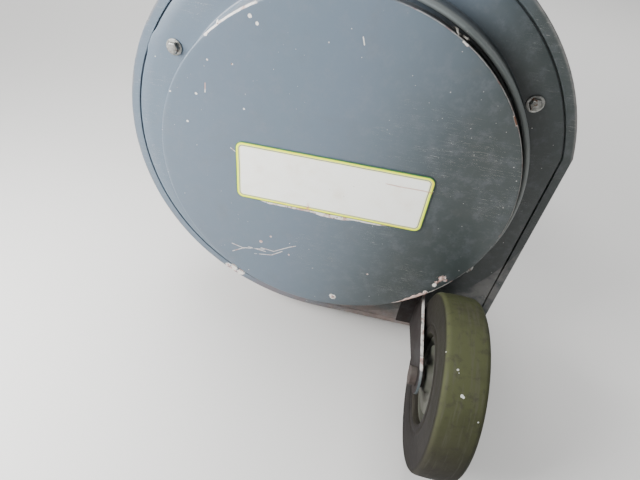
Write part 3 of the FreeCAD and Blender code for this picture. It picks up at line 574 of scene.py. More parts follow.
def cover_wear(made):
    """Chips and scratches at their places, worn stretches of the pan's edge, a thin light line of wear with a
    painted highlight on its upper right, and torn glue by the plate.
    """
    up = made.z - AXIS_Z
    radius = length(made.x, up)
    fine = made.noise(170, 4, 0.7)
    coarse = made.noise(40)
    front = (made.y - PAN_Y).ramp(0.012, 0.005)
    edge = (radius + (fine - 0.5) * 0.0022).band(PAN_RADIUS - 0.0008, 0.0005, 0.0007) * front
    angle = up.angle_from(made.x) * (360 / TURN)
    worn = reduce(Field.max, (angle.band(centre, half, half * 0.3) * share
                              for centre, half, share in WORN_STRETCHES))
    bare = edge * (worn * 0.55 + fine * 0.25 + coarse * 0.3).ramp(0.5, 0.66) * worn.min(1.0)
    for across, height, reach in CHIPS:
        gap = length(made.x - across, made.z - height) / reach
        bare = bare.max((gap + (fine - 0.5) * 2.4).ramp(1.1, 0.8))
    shown = (coarse + (fine - 0.5) * 0.6).ramp(0.3, 0.4)
    for ends in STROKES:
        bare = bare.max(stroke(made, *ends) * shown * front * 0.85)
    bare = bare.max(torn_glue(made, fine, front))
    # Thin light line along the pan's edge at the upper right: wear with a painted highlight, laid in as bare
    # paint.
    wear_and_highlight = (radius + (fine - 0.5) * 0.0008).band(PAN_RADIUS - 0.0003, 0.0002, 0.0004) * front
    bare = bare.max(wear_and_highlight * angle.band(35, 38, 10) * coarse.ramp(0.25, 0.5) * 0.45)
    rusty = edge * angle.band(35, 1.2, 0.6)
    for turn in np.radians(SCREW_ANGLES):
        across, height = SCREW_CIRCLE * math.cos(turn), SCREW_CIRCLE * math.sin(turn)
        gap = length(made.x - across, up - height) + (fine - 0.5) * 0.003
        bare = bare.max(gap.band(0.0052, 0.0003, 0.0008) * coarse.ramp(0.42, 0.55) * 0.8)
        low_side = length(made.x - across - 0.003, up - height + 0.003)
        rusty = rusty.max((low_side + (fine - 0.5) * 0.003).ramp(0.0026, 0.0018))
    rusty = rusty.max(bare * made.noise(300).ramp(0.62, 0.68))
    return bare, rusty


def sheet_wear(made):
    """Small chips here and there on sheet pieces."""
    spots = made.noise(60, 4, 0.65).ramp(0.7, 0.735)
    return spots * 0.8, spots * made.noise(240).ramp(0.5, 0.58)


def bracket_wear(made):
    """Left face darkened nearly black by dirt with painted shade, and a bright worn top edge on the front
    wheel's bracket.
    """
    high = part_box("front_bracket")[1]
    fine = made.noise(150, 4, 0.7)
    top = made.z.ramp(high.z - 0.001, high.z - 0.0003)
    bare = top * fine.ramp(0.3, 0.5) * 0.8
    # Painted shade with dirt: the whole left face goes nearly black.
    left = made.x.ramp(high.x - 0.0028, high.x - 0.0034)
    dirt_and_shade = left * ((made.noise(38, 5, 0.7) + (fine - 0.5) * 0.4).ramp(0.3, 0.6) * 0.12 + 0.86)
    return bare, dirt_and_shade * (1 - bare)


def label_finish():
    """Cream plate with a dark edge, a yellow band and a thin olive line inside it, and stains."""
    made = Finish("label_plate")
    across = made.x.abs() - (LABEL_HALF_WIDTH - LABEL_CORNER)
    up = (made.z - AXIS_Z).abs() - (LABEL_HALF_HEIGHT - LABEL_CORNER)
    outside = length(across.max(0.0), up.max(0.0))
    inset = LABEL_CORNER - outside - across.max(up).min(0.0) + (made.noise(60, 2, 0.5) - 0.5) * 0.0006
    clouds = made.noise(26, 4)
    fine = made.noise(150, 4, 0.65)
    made.colour = made.blend(CREAM, OLD_CREAM, clouds.ramp(0.45, 0.8))
    yellow = made.blend(GREEN_YELLOW, ORANGE_YELLOW, made.noise(16).ramp(0.5, 0.66))
    made.tint(PALE_YELLOW, inset.ramp(0.0062, 0.005) * 0.6)
    made.tint(OLIVE, inset.band(0.004, 0.0003, 0.0004) * 0.9)
    made.tint(yellow, inset.ramp(0.0034, 0.003))
    made.tint(DARK_GREEN, inset.ramp(0.0012, 0.0007))
    stain = (made.z - AXIS_Z + (clouds - 0.5) * 0.004).band(0.0185, 0.0003, 0.0006)
    stain = stain * made.x.ramp(0.042, 0.062) * made.noise(90).ramp(0.36, 0.5)
    torn = made.x.band(-0.022, 0.0008, 0.0012) * made.z.ramp(LABEL_LOW.z + 0.012, LABEL_LOW.z + 0.004)
    made.tint(STAIN, stain.max(torn * fine.ramp(0.4, 0.55)) * 0.75)
    made.tint((0.34, 0.3, 0.24), made.specks(120, 0.08, 0.16) * 0.6)
    return made.done(clouds * 0.2 + 0.3, made.noise(80, 3, 0.5), 0.0002, 0.3)


# Pale specks on the front tread: place and radius.
TREAD_SPOTS = ((0.1562, -0.5026, 0.1926, 0.0011), (0.1574, -0.505, 0.1914, 0.0008),
               (0.1628, -0.5215, 0.181, 0.0015), (0.1645, -0.5222, 0.1805, 0.0012),
               (0.1445, -0.4871, 0.195, 0.0008))


def tyre_rubber():
    """Old rubber: dark, dusty, green on the tread, rough, with pale specks, and painted shade on the
    sidewalls.
    """
    made = Finish("tyre_rubber", specular_ior_level=0.18)
    clouds = made.noise(16, 5, 0.65)
    fine = made.noise(130, 4, 0.65)
    made.colour = made.blend((0.011, 0.009, 0.008), (0.024, 0.02, 0.016), clouds.ramp(0.3, 0.7))
    # Green tint, stronger towards the top of the tyre.
    high = made.z.ramp(0.09, 0.2) * 0.8 + 0.1
    made.tint(TREAD_GREEN, high * made.noise(10, 4).ramp(0.3, 0.6))
    # Painted shade darkens both sidewalls.
    side = made.split(made.node("NewGeometry", output="Normal"))[0].abs().ramp(0.75, 0.95)
    made.tint((0.007, 0.005, 0.005), side * 0.85)
    streaks = made.noise(12, at=made.stretched((26, 2, 2)))
    made.tint((0.062, 0.058, 0.046), streaks.ramp(0.5, 0.66) * (1 - side * 0.8) * 0.4)
    made.tint((0.024, 0.021, 0.019), fine.ramp(0.5, 0.68) * 0.4)
    specks = made.specks(60, 0.06, 0.14)
    for x, y, z, reach in TREAD_SPOTS:
        away = length(made.x - x, made.y - y, made.z - z) + (fine - 0.5) * 0.003
        specks = specks.max(away.ramp(reach, reach * 0.7))
    made.tint((0.55, 0.56, 0.52), specks * 0.9)
    return made.done(fine * 0.18 + 0.66, fine * 0.7 + specks * 0.6, 0.0008, 0.7)


def hub_finish():
    """Grey-green moulded hub with dirty specks."""
    made = Finish("hub_grey", specular_ior_level=0.4)
    clouds = made.noise(30, 4)
    made.colour = made.blend((0.07, 0.073, 0.057), (0.043, 0.041, 0.032), clouds.ramp(0.35, 0.7))
    made.tint((0.09, 0.07, 0.05), made.specks(150, 0.1, 0.25) * 0.8)
    return made.done(clouds * 0.2 + 0.5, made.noise(300, 2, 0.5), 0.0002, 0.4)


def metal(name, light, dark, rust=0.0, rough=0.35, grain=60):
    """Bare metal with soft stains, and rust over a share of it."""
    made = Finish(name, metallic=1.0)
    clouds = made.noise(grain, 4)
    made.colour = made.blend(light, dark, clouds.ramp(0.3, 0.75))
    roughness = clouds * 0.2 + rough
    if rust:
        rusty = made.noise(grain * 0.7, 5, 0.7).ramp(0.72 - 0.3 * rust, 0.8 - 0.3 * rust)
        made.tint(made.blend(RUST, OLD_RUST, clouds.ramp(0.4, 0.6)), rusty)
        made.feed(metallic=1 - rusty)
        roughness = roughness + rusty * 0.4
    return made.done(roughness, made.noise(grain * 6), 0.0003, 0.35)


def dark_coat(name, base, worn, rough=0.4, grain=40):
    """Dull coat or crust, worn in soft patches, with dust on tops and pale specks."""
    made = Finish(name, specular_ior_level=0.4)
    clouds = made.noise(grain, 4)
    made.colour = made.blend(base, worn, clouds.ramp(0.45, 0.8) * 0.7)
    made.tint((0.16, 0.15, 0.13), made.facing_up() * clouds.ramp(0.25, 0.65) * 0.35)
    specks = made.specks(110, 0.07, 0.18)
    made.tint(DUST, specks * 0.5)
    return made.done(clouds * 0.25 + rough + specks * 0.2, made.noise(grain * 9, 3, 0.5), 0.0003, 0.4)


FINISHES = {
    "paint": worn_paint("slate_paint", sheet_wear),
    "plate": label_finish(),
    "tyre": tyre_rubber(),
    "hub": hub_finish(),
    "steel": metal("worn_steel", (0.42, 0.4, 0.37), (0.24, 0.22, 0.2), rust=0.5),
    "cast_iron": metal("cast_iron", (0.1, 0.1, 0.1), (0.055, 0.05, 0.045), rust=0.25, rough=0.55),
    "alloy": metal("cast_alloy", (0.45, 0.45, 0.44), (0.33, 0.33, 0.32), rough=0.46, grain=35),
    "exhaust": metal("exhaust_steel", (0.26, 0.23, 0.2), (0.12, 0.09, 0.07), rust=0.6, rough=0.5),
    "shroud": dark_coat("black_coat", (0.02, 0.02, 0.021), (0.05, 0.048, 0.045)),
    "plastic": dark_coat("black_plastic", (0.024, 0.024, 0.024), (0.06, 0.058, 0.052), rough=0.5),
    "grip": dark_coat("grip_rubber", (0.016, 0.016, 0.016), (0.05, 0.048, 0.044), rough=0.62)}
# Cover paint: painted light on the left, painted shade to the right and in the channel, a painted highlight
# on the bead.
COVER_PAINT = worn_paint("cover_paint", cover_wear, 0.09, shaded_and_hazy=True)
# The bracket's paint carries painted shade with dirt on its left face.
BRACKET_PAINT = worn_paint("bracket_paint", bracket_wear, 0.05, rust_and_shade_colour=DIRT_AND_SHADE_BLACK, shine=0.2)
SCREW = metal("screw_zinc", (0.38, 0.38, 0.36), (0.13, 0.13, 0.12), rust=0.5, rough=0.32, grain=220)
OLD_IRON = dark_coat("old_iron", (0.04, 0.03, 0.026), (0.085, 0.066, 0.056), rough=0.6, grain=70)
CRUST = dark_coat("dried_crust", (0.4, 0.28, 0.24), (0.62, 0.52, 0.48), rough=0.8, grain=240)
SCRAP = dark_coat("torn_scrap", (0.085, 0.08, 0.07), (0.2, 0.19, 0.175), rough=0.7, grain=240)


# Drum front

def outline_reach(angle, radius):
    """Distance from the drum's axis to its outline: a circle, a flat right side and a squared corner.

    In the lower right quarter it is ((cos a / side)^n + (sin a / radius)^n)^(-1/n), a square with
    a small round at its corner.
    """
    side, power = radius - DRUM_FLAT, CORNER_SHARPNESS
    across, up = np.cos(angle), np.sin(angle)
    upright = np.where(across > 0.5, side / np.maximum(across, 0.5), radius)
    square = ((np.abs(across) / side) ** power + (np.abs(up) / radius) ** power) ** (-1 / power)
    return np.where((across > 0) & (up < 0), square, np.minimum(radius, upright))


def drum_rows(levels):
    """Rows of points round the drum's axis, from (radius, y, follows the drum's outline) levels."""
    corner = -math.atan2(COVER_RADIUS, COVER_RADIUS - DRUM_FLAT)
    angle = np.concatenate([around(360), corner + np.linspace(-0.03, 0.03, 31)])
    angle = np.sort(angle % TURN)
    return np.array([about_axis(outline_reach(angle, radius) if follows else radius, angle, y)
                     for radius, y, follows in levels])


def wall_levels(profile):
    """Levels of the cover from the pan's middle over its wall and flange and back along the inside."""
    outer, inner = COVER_RADIUS + COVER_GROWTH, PAN_RADIUS - 3 * SHEET
    levels = [(r, PAN_Y, False) for r in np.linspace(0.0005, PAN_RADIUS - 0.007, 24)]
    levels += [(r, PAN_Y + depth, False) for r, depth in eased_line(profile, 0.002)]
    levels += [(0.202, PLATE_Y, False), (outer - 0.012, PLATE_Y, True), (outer - 0.001, PLATE_Y, True),
               (outer - 0.0003, PLATE_Y + 0.0003, True), (outer, PLATE_Y + 0.001, True),
               (outer, COVER_BACK, True), (0.2, COVER_BACK, False),
               (PAN_FOOT_RADIUS - SHEET, COVER_BACK, False), (inner, PAN_Y + 0.014, False),
               (inner, PAN_Y + 2 * SHEET, False), (inner - SHEET, PAN_Y + SHEET, False),
               (0.0005, PAN_Y + SHEET, False)]
    return levels


def wall_profiles():
    """Corners of the plain wall and of the one with a bead: radius, and depth behind the pan."""
    depth, edge, foot, flange = PLATE_Y - PAN_Y, PAN_RADIUS, PAN_FOOT_RADIUS, 0.1995
    start = [(edge - 0.006, 0), (edge, 0)]
    plain = [(edge, 0.004), (edge - 0.0004, 0.01), (edge - 0.0004, 0.016), (edge - 0.0002, 0.019),
             (edge, 0.022), (edge + 0.0002, 0.025), (edge + 0.0005, depth - 0.006),
             (foot - 0.0006, depth - 0.0026), (foot + 0.001, depth), (flange, depth)]
    inner, outer = BEAD_RADIUS - 0.003, BEAD_RADIUS + 0.003
    beaded = [(edge, 0.003), (edge - 0.002, 0.006), (edge - 0.002, 0.022), (inner, 0.022),
              (inner, 0.0135), (BEAD_RADIUS, 0.0115), (outer, 0.015), (outer, depth - 0.002),
              (outer + 0.0008, depth), (flange, depth)]
    return start + plain, start + beaded


def front_cover():
    """Pressed cover: a flat pan with a crisp edge, its wall and the flange.

    The plain wall is mixed by angle with one that has a channel and a bead, at the right. The flange
    bulges out beside the upper left screw. Crossed sine waves bend the pan and fade at its edge.
    """
    plain, beaded = [drum_rows(wall_levels(profile)) for profile in wall_profiles()]
    from_axis = plain[..., [0, 2]] - (0, AXIS_Z)
    x, z = from_axis[..., 0], from_axis[..., 1]
    angle, reach = np.arctan2(z, x), np.hypot(x, z)
    share = np.clip((np.cos(angle - math.radians(15)) + 0.1) / 0.35, 0, 1)
    points = plain + (beaded - plain) * (share ** 2 * (3 - 2 * share))[..., None]
    turn_off = (angle - math.radians(BULGE_ANGLE)) / math.radians(BULGE_WIDTH)
    near_edge = np.clip((reach - COVER_RADIUS + 0.011) / 0.012, 0, 1) ** 2
    bulge = np.exp(-turn_off ** 4) * near_edge * BULGE_HEIGHT
    points[..., [0, 2]] += from_axis / reach[..., None] * bulge[..., None]
    wave = (np.sin(17 * x + 9 * z + 0.6) + np.sin(-11 * x + 21 * z + 2.1) + np.sin(26 * x - 13 * z)) / 3
    fade = np.clip(1 - reach / PAN_RADIUS, 0, 1) ** 0.5
    on_pan = np.abs(points[..., 1] - PAN_Y) < 0.004
    points[..., 1] += np.where(on_pan, PAN_WAVE * (1 + wave) * fade, 0)
    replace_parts(joined("cover_pressing", [points], "paint", COVER_PAINT, smooth=50), "front_cover")


def strip_grid():
    """Shares along a strip in rows, and angles round its section in columns."""
    return np.linspace(0, 1, 70)[:, None], around(10)


# Lumps of dried crust at the front: place across, height and radius.
LUMPS = ((0.1471, 0.1763, 0.0042), (0.1425, 0.169, 0.0026), (0.1345, 0.1475, 0.003),
         (0.0226, 0.1035, 0.003))


def crusts():
    """Lumps of dried crust on the pan, and a wedge of it along its edge, whose half width is share ** 0.7."""
    groups = []
    for number, (across, height, reach) in enumerate(LUMPS):
        dome = [(-0.0014, POLE), (-0.0014, reach), (0.0002, reach * 0.92), (0.001, reach * 0.6),
                (0.0011, POLE)]
        groups.append(turned(eased_line(dome, 0.0009, 4), (across, PAN_Y, height), FRONT, 60,
                             ripple=(3 + number % 3, 0.35)))
    share, section = strip_grid()
    width = 0.003 * share ** 0.7 * (1 + 0.2 * np.sin(23 * share)) * np.sqrt(1.0001 - share ** 6)
    reach = PAN_RADIUS - 0.0004 - width + width * np.cos(section)
    forward = PAN_Y - (0.0002 + 0.3 * width) * np.sin(section)
    groups.append(about_axis(reach, np.radians(-56 + 12 * share), forward))
    joined("dried_crusts", groups, "paint", CRUST, smooth=60)


def torn_scrap():
    """Thin crooked scrap along the channel: a round section whose centre wanders on two sine waves."""
    share, section = strip_grid()
    thick = 0.0011 * np.sqrt(np.sin(share * math.pi) + 0.0001) * (1 + 0.3 * np.sin(31 * share))
    reach = BEAD_RADIUS - 0.004 + 0.001 * np.sin(9 * share) + thick * np.cos(section)
    forward = PAN_Y + 0.003 + 0.002 * np.sin(13 * share) + thick * np.sin(section)
    strip = about_axis(reach, np.radians(65.5 - 5.5 * share), forward)
    joined("torn_scrap", [strip], "paint", SCRAP, smooth=60)


def cover_screws():
    """Six hexagon screws on washers round the pan."""
    places = about_axis(SCREW_CIRCLE, np.radians(SCREW_ANGLES), PLATE_Y)
    bolts("cover_screws", places, FRONT, finish=SCREW, width=0.0105, head=0.0042, washer=0.0082)


def label_plate():
    """Thin plate with round corners, its outline carried from back to front and closed in the middle."""
    ease = 0.0003
    sizes = np.array([LABEL_HALF_WIDTH, LABEL_HALF_HEIGHT, LABEL_CORNER])
    outline, inner = rounded_rectangle(*sizes), rounded_rectangle(*(sizes - ease))
    rings = ((outline * 0.001, LABEL_HIGH.y), (outline, LABEL_HIGH.y), (outline, LABEL_LOW.y + ease),
             (inner, LABEL_LOW.y), (inner * 0.001, LABEL_LOW.y))
    rows = [laid(ring, (0, y, AXIS_Z), 0, 2) for ring, y in rings]
    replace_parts(joined("label_plate", [np.array(rows)], "plate"), "blank_plate")


# Wheels

FRONT_BORE, REAR_BORE = 0.0065, 0.0081
# Name, body, the names of the nodes, and the tread's ribs.
WHEELS = (("front", "front_wheel", "front_{}", 0), ("left", "rear_wheel_left", "rear_{}_left", 3),
          ("right", "rear_wheel_right", "rear_{}_right", 3))


def tyre(name, node, hub_node, body, ribs=0):
    """Solid rubber tyre: bead, flat side, round shoulder and a slightly crowned tread, with ribs on it."""
    half, radius, bead = size(node).x / 2, size(node).z / 2, size(hub_node).z / 2
    shoulder = 0.0065
    turn = np.radians(np.linspace(0, 90, 9))
    side = [(-half + 0.0045, bead - 0.0004), (-half + 0.0012, bead + 0.0012), (-half + 0.0006, bead + 0.007),
            (-half + 0.0022, bead + 0.01), (-half + 0.0006, bead + 0.013), (-half, radius - 0.026),
            (-half + 0.0002, radius - shoulder - 0.002)]
    left = list(map(tuple, eased_line(side, 0.0022)))
    left += zip(-half + shoulder * (1 - np.cos(turn)), radius - 0.0006 - shoulder * (1 - np.sin(turn)))
    tread = np.linspace(-half + shoulder, 0, 12)[1:]
    share = tread / (half - shoulder)
    groove = 0.0016 * (0.5 - 0.5 * np.cos(share * TURN * ribs)) if ribs else 0
    left += zip(tread, radius - 0.0006 * share ** 2 - groove)
    profile = left + [(-along, r) for along, r in reversed(left[:-1])]
    item = joined(name, [turned(profile, middle(node), RIGHT, 160)], "tyre", None, body, 50, True)
    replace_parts(item, node)


def hub(name, node, body):
    """Moulded hub: a rim lip, a dished disc with a raised ring, and the boss, the same on both sides."""
    half, radius = size(node).x / 2, size(node).z / 2
    disc = half - 0.006
    bore = REAR_BORE if radius > 0.055 else FRONT_BORE
    face = [(half, bore), (half, 0.0125), (half - 0.0016, 0.015), (disc - 0.002, 0.0162),
            (disc - 0.0026, radius * 0.46), (disc, radius * 0.54), (disc, radius * 0.76),
            (disc - 0.0055, radius * 0.8), (disc - 0.006, radius * 0.9), (disc - 0.0005, radius * 0.955),
            (disc - 0.0005, radius)]
    profile = [(-along, r) for along, r in face] + face[::-1]
    points = turned(eased_line(profile, 0.0012, 4), middle(node), RIGHT)
    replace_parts(joined(name, [points], "hub", None, body, 45, True), node)


def wheels():
    """Tyres and hubs. The rear tyres have three ribs."""
    for name, body, part, ribs in WHEELS:
        tyre_node, hub_node = part.format("tyre"), part.format("hub")
        tyre(name + "_wheel_tyre", tyre_node, hub_node, body, ribs)
        hub(name + "_wheel_hub", hub_node, body)


# Feed and discharge

def hopper_bolts():
    """Bolts and nuts through the two flanges at the hopper's foot."""
    low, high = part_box("hopper_throat")
    across, feed_y = high.x - 0.01, (low.y + high.y) / 2
    places = [(side * across, feed_y + shift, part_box("hopper")[0].z + 0.003)
              for side in (-1, 1) for shift in (-0.036, 0, 0.036)]
    bolts("hopper_bolts", places, UP, width=0.01, head=0.004, washer=0.0078)
    nuts = [(x, y, high.z - 0.003) for x, y, z in places]
    bolts("hopper_nuts", nuts, DOWN, width=0.01, head=0.005)


def hopper_edge():
    """Rolled edge round the hopper's mouth: a round section carried along a rounded rectangle."""
    half, centre, top = size("hopper") / 2, middle("hopper"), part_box("hopper")[1].z
    roll, corner = 0.0042, 0.01
    rings = []
    for turn in around(12):
        out = roll * math.cos(turn) - roll
        ring = rounded_rectangle(half.x + out, half.y + out, corner + out, 160)
        rings.append(laid(ring, (centre.x, centre.y, top - roll + roll * math.sin(turn)), 0, 1))
    joined("hopper_rolled_edge", [np.array(rings)], "paint", wrap_rows=True)


def hopper_seams():
    """Welded corners of the hopper: thin rippled beads from the throat up to the mouth."""
    throat, mouth, feed_y = size("hopper_throat") / 2, size("hopper") / 2, middle("hopper").y
    flange, inset, thick = 0.02, 0.012, 0.002
    low_z, high_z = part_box("hopper")[0].z + 0.003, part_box("hopper")[1].z - 0.006
    seams = []
    for side, end in ((-1, -1), (-1, 1), (1, -1), (1, 1)):
        foot = np.array([side * (throat.x - flange), feed_y + end * throat.y, low_z])
        head = np.array([side * (mouth.x - inset), feed_y + end * (mouth.y - inset), high_z])
        along = np.linspace(0, norm(head - foot), 220)
        bead = thick * (1 + 0.16 * np.sin(along * TURN / 0.006) + 0.1 * np.sin(along * TURN / 0.031))
        bead[[0, -1]] = POLE
        seams.append(turned(list(zip(along, bead)), foot, head - foot, 8))
    joined("hopper_seams", seams, "paint", smooth=60)


def back_bolts():
    """Bolts round the drum's back plate."""
    places = about_axis(BACK_BOLT_CIRCLE, np.radians(np.arange(18, 378, 36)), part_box("back_plate")[1].y)
    bolts("back_bolts", places, BACK, width=0.01, head=0.004, washer=0.0075)


# Engine

def recoil_cover():
    """Starter cup: a turned profile whose face is pressed in at twelve slots between two radii.

    Its profile is cut into steps of 2 mm or less, so that the slots have points to move.
    """
    low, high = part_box("recoil_cover")
    depth, radius = high.y - low.y, (high.x - low.x) / 2
    corners = [(0, radius), (0.0104, radius), (depth - 0.0015, radius - 0.014),
               (depth - 0.0006, radius - 0.02), (depth - 0.0006, 0.03), (depth - 0.004, 0.027),
               (depth - 0.004, 0.02), (depth, 0.017), (depth, POLE)]
    profile = eased_line(corners, 0.003, 6)
    fine = [profile[:1]]
    for start, end in zip(profile, profile[1:]):
        count = max(1, int(norm(end - start) / 0.002))
        fine.append(start + (end - start) * (np.arange(count)[:, None] + 1) / count)
    points = turned(np.concatenate(fine), (0, low.y, AXIS_Z), BACK, 288)
    x, z = points[..., 0], points[..., 2] - AXIS_Z
    reach, angle = np.hypot(x, z), np.arctan2(z, x)
    ring = np.clip((reach - 0.0335) / 0.002, 0, 1) * np.clip((0.0595 - reach) / 0.002, 0, 1)
    slot = np.clip((np.cos(12 * angle) - 0.25) / 0.25, 0, 1)
    points[..., 1] -= 0.003 * ring * slot
    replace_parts(joined("starter_cup", [points], "shroud"), "recoil_cover")


# Cast cover on the crankcase: how far out each ring stands, and how far in from the cover's outline.
CASE_RINGS = ((-0.001, 0.0), (0.0052, 0.0), (0.0066, 0.0014), (0.0066, 0.01), (0.01, 0.015),
              (0.0104, 0.02), (0.0104, 0.044))
CASE_BOLTS = [(y, z) for z in (-0.044, 0.044, 0) for y in (-0.04, 0.04)]


def side_covers():
    """Cast covers on both sides of the crankcase, each with a rim of bolts."""
    low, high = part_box("crankcase")
    centre_y, centre_z = (low.y + high.y) / 2, low.z + 0.118
    body_half, lip = 0.085, 0.0066
    plates = []
    for side in (-1, 1):
        rows = []
        for out, inset in CASE_RINGS:
            ring = rounded_rectangle(0.046 - inset, 0.05 - inset, max(0.016 - inset, 0.0006))
            rows.append(laid(ring, (side * (body_half + out), centre_y, centre_z), 1, 2))
        centre = rows[-1].mean(axis=0)
        rows.append(centre + (rows[-1] - centre) * 0.01)
        plates.append(np.array(rows))
    joined("case_covers", plates, "alloy", smooth=35)
    for side, axis, name in SIDES:
        places = [(side * (body_half + lip), centre_y + dy, centre_z + dz) for dy, dz in CASE_BOLTS]
        bolts("case_bolts_" + name, places, axis, width=0.008, head=0.0038)


def spark_plug():
    """Plug with its rubber cap on the head's drum side."""
    low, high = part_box("cylinder_block")
    place = (0.022, low.y + 0.002, high.z - 0.03)
    joined("plug_body", bolt(place, FRONT, 0.02, 0.009, 0.0125), "steel", smooth=30)
    cap = [(0.01, 0.008), (0.016, 0.0092), (0.034, 0.0092), (0.0375, 0.007)]
    lathe("plug_cap", cap, 0.002, place, FRONT, 48, "grip")


# Folded seam round the tank: how far out and how far up each ring stands.
SEAM_RINGS = ((-0.001, -0.0016), (0.0026, -0.0014), (0.003, 0.0), (0.0026, 0.0014), (-0.001, 0.0016))


def tank_details():
    """Ribbed cap on the fuel tank, and the folded seam round it: rings larger than its outline."""
    low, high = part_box("fuel_tank")
    centre = middle("fuel_tank")
    cap = [(0, 0.0275), (0.011, 0.0275), (0.014, 0.0235)]
    place = (centre.x - 0.05, centre.y, high.z - 0.013)
    lathe("fuel_cap", cap, 0.0012, place, UP, 192, "plastic", (24, 0.05))
    outline = rounded_rectangle((high.x - low.x) / 2, (high.y - low.y) / 2, 0.016, 144)
    seam_z = low.z + 0.031
    rows = []
    for out, rise in SEAM_RINGS:
        grown = outline * (1 + out / np.abs(outline).max(axis=0))
        rows.append(laid(grown, (0, centre.y, seam_z + rise), 0, 1))
    joined("tank_seam", [np.array(rows)], "shroud", wrap_rows=True)


def engine_caps():
    """Oil cap, carburettor bowl and the air cleaner's knob."""
    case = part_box("crankcase")[0]
    oil_cap = [(0, 0.015), (0.007, 0.015), (0.009, 0.012)]
    place = (case.x, middle("crankcase").y, case.z + 0.0415)
    lathe("oil_cap", oil_cap, 0.001, place, LEFT, 96, "plastic", (8, 0.16))
    carb = middle("carburettor")
    bowl = [(-0.004, 0.0135), (0.004, 0.0135), (0.004, 0.0155), (0.006, 0.0155), (0.006, 0.0135),
            (0.016, 0.0125), (0.019, 0.006)]
    lathe("carburettor_bowl", bowl, 0.0012, (carb.x, carb.y, carb.z - 0.01), DOWN, 64, "alloy")
    cleaner = middle("air_cleaner")
    knob = [(0, 0.016), (0.003, 0.016), (0.004, 0.011), (0.012, 0.01)]
    place = (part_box("air_cleaner")[0].x, cleaner.y, cleaner.z)
    lathe("cleaner_knob", knob, 0.0015, place, LEFT, 96, "plastic", (6, 0.14))


def engine_bolts():
    """Bolts on the crankcase's feet, the blower housing and the muffler."""
    foot_y, foot_z = middle("crankcase").y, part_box("crankcase")[0].z + 0.009
    feet = [(side * 0.0915, foot_y + shift, foot_z) for side in (-1, 1) for shift in (-0.04, 0.04)]
    bolts("engine_bolts", feet, UP, width=0.0105, head=0.005)
    rim = about_axis(SHROUD_BOLT_CIRCLE, np.radians(SHROUD_BOLT_ANGLES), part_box("blower_housing")[1].y)
    bolts("shroud_bolts", rim, BACK, width=0.009, head=0.004, washer=0.0072)
    muffler, side = middle("muffler"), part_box("muffler")[1].x - 0.01
    corners = [(side, muffler.y + dy, muffler.z + dz)
               for dy, dz in ((-0.03, -0.018), (-0.03, 0.018), (0.03, 0.018))]
    bolts("muffler_bolts", corners, RIGHT, "exhaust", width=0.01, head=0.004)


# Deck, axle and handle

def deck_bolts():
    """Bolts that hold the handle tubes, the hitch plate and the axle brackets."""
    tube_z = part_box("handle_right")[0].z + size("handle_cross").z / 2
    for side, axis, name in SIDES:
        outer = max(abs(corner.x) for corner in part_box("handle_" + name))
        places = [(side * outer, y, tube_z) for y in (0.06, 0.135)]
        bolts("handle_bolts_" + name, places, axis, width=0.0125, head=0.005)
    top, axle_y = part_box("deck")[1].z, middle("rear_axle").y
    places = [(0, y, top) for y in (0.163, 0.187)]
    places += [(side * 0.108, axle_y + shift, top) for side in (-1, 1) for shift in (-0.012, 0.012)]
    bolts("deck_bolts", places, UP, width=0.0125, head=0.005, washer=0.011)


def handle_details():
    """Ribbed grips, plugs in the tube ends and welds round the cross tube's ends."""
    plugs, welds = [], []
    cross, half = middle("handle_cross"), size("handle_cross").x / 2
    dome = [(-0.006, POLE), (-0.006, 0.0108), (-0.0022, 0.0108), (-0.0008, 0.007), (-0.0004, POLE)]
    dome = eased_line(dome, 0.0015)
    for side, axis, name in SIDES:
        low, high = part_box("grip_" + name)
        centre_x, centre_z = (low.x + high.x) / 2, (low.z + high.z) / 2
        length, radius, bore = high.y - low.y, (high.x - low.x) / 2, 0.0128
        along = np.linspace(0.004, length - 0.004, 140)
        rib = radius - 0.0009 + 0.0009 * np.cos(along * TURN / 0.0075)
        profile = [(0, bore), (0, radius - 0.0012), (0.0012, radius - 0.0002), *zip(along, rib),
                   (length - 0.0012, radius - 0.0002), (length, radius - 0.0012), (length, bore)]
        points = turned(profile, (centre_x, low.y, centre_z), BACK, 64)
        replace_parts(joined("ribbed_grip_" + name, [points], "grip", wrap_rows=True), "grip_" + name)
        plugs.append(turned(dome, (centre_x, high.y, centre_z), BACK, 48))
        welds.append(weld_ring((side * (half - 0.0006), cross.y, cross.z), RIGHT, 0.0127))
    joined("tube_plugs", plugs, "grip")
    joined("handle_welds", welds, "paint", wrap_rows=True)


# Nodes that keep their shape

OWN_PIECES = {"front_cover", "blank_plate", "recoil_cover", "grip_left", "grip_right"}
OWN_PIECES |= {part.format(kind) for name, body, part, ribs in WHEELS for kind in ("tyre", "hub")}
EDGE_WIDTHS = {"starter_grip": 0.0045, "deck": 0.0012, "crankcase": 0.0018, "blower_housing": 0.0016,
               "tank_bracket": 0.0006, "cylinder_block": 0.0005, "hitch_plate": 0.0015}
OWN_FINISHES = {"front_bracket": BRACKET_PAINT, "drum_rim": COVER_PAINT, "front_axle": OLD_IRON}


def eased_nodes():
    """Copies with softened edges stand for the sheet, tube and cast pieces."""
    for row in frame["record"]["subparts"]:
        node, slot = row["node"], row["material_slot"]
        finish = OWN_FINISHES.get(node, FINISHES[slot])
        coat(frame["nodes"][node], finish)
        if node not in OWN_PIECES:
            eased(node, finish, EDGE_WIDTHS.get(node, 0.0008))


# Studio

CAMERA_PLACE = (0.0385, PLATE_Y - 0.421, 0.5465)
CAMERA_VIEW = Vector((-0.081, 0.739, -0.669))
CAMERA_UP = Vector((-0.202, 0.645, 0.737))


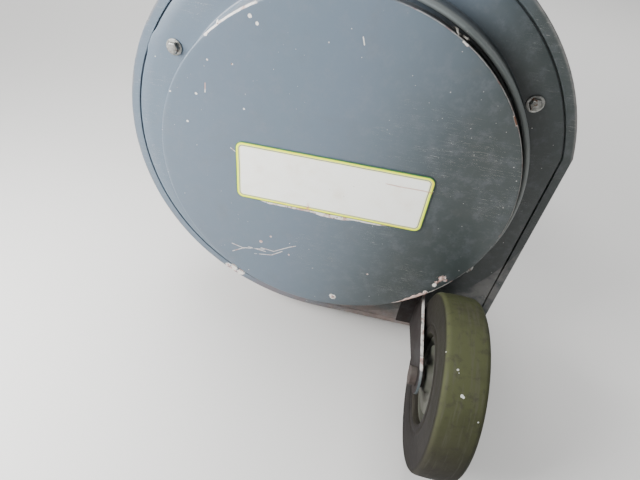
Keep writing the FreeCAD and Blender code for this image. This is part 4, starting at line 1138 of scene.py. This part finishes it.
def light(name, place, aim, width, power):
    """Square area light that faces its aim."""
    data = bpy.data.lights.new(name, "AREA")
    data.size, data.energy = width, power
    item = put(name, data)
    item.location = place
    item.rotation_mode = "QUATERNION"
    item.rotation_quaternion = (Vector(aim) - Vector(place)).to_track_quat("-Z", "Y")
    item.visible_camera = False


def soft_sun():
    """Wide soft light from above, leaning to the back."""
    data = bpy.data.lights.new("top", "SUN")
    data.energy, data.angle = 2.8, 0.7
    put("top", data).rotation_euler.x = math.radians(-12)


def floor():
    """Plain pale floor, a hair under the wheels."""
    reach, height = 14.0, -0.0005
    corners = [(x * reach, y * reach, height) for x, y in ((-1, -1), (1, -1), (1, 1), (-1, 1))]
    mesh = bpy.data.meshes.new("floor")
    mesh.from_pydata(corners, [], [(0, 1, 2, 3)])
    item = put("floor", mesh)
    coat(item, Finish("studio_floor", roughness=0.8, base_color=(0.66, 0.65, 0.63, 1)).material)


def studio():
    """Pale surroundings, a soft light from the left of the cover, a wide one above and two behind."""
    floor()
    world = bpy.data.worlds.new("studio")
    bpy.context.scene.world = world
    world.use_nodes = True
    background = world.node_tree.nodes["Background"]
    background.inputs["Color"].default_value = (0.88, 0.92, 0.97, 1)
    background.inputs["Strength"].default_value = 0.24
    light("key", (-0.7, -0.78, 0.66), (-0.08, -0.3, 0.28), 0.5, 26)
    soft_sun()
    light("fill", (1.8, 0.9, 1.6), (0.0, 0.1, 0.3), 1.6, 14)
    light("back", (-1.2, 2.2, 2.0), (0.0, 0.2, 0.4), 1.8, 40)


def camera():
    """Camera just ahead of the cover, looking down on it, turned a little as it was hand-held."""
    data = bpy.data.cameras.new("camera")
    data.sensor_width = 36
    data.lens = 24.75
    data.clip_start = 0.01
    item = put("camera", data)
    view = CAMERA_VIEW.normalized()
    up = (CAMERA_UP - view * CAMERA_UP.dot(view)).normalized()
    right = view.cross(up)
    item.matrix_world = Matrix([*zip(right, up, -view, CAMERA_PLACE), (0, 0, 0, 1)])
    bpy.context.scene.camera = item


studio()
camera()
eased_nodes()
front_cover()
crusts()
torn_scrap()
cover_screws()
label_plate()
wheels()
hopper_bolts()
hopper_edge()
hopper_seams()
back_bolts()
recoil_cover()
side_covers()
spark_plug()
tank_details()
engine_caps()
engine_bolts()
deck_bolts()
handle_details()
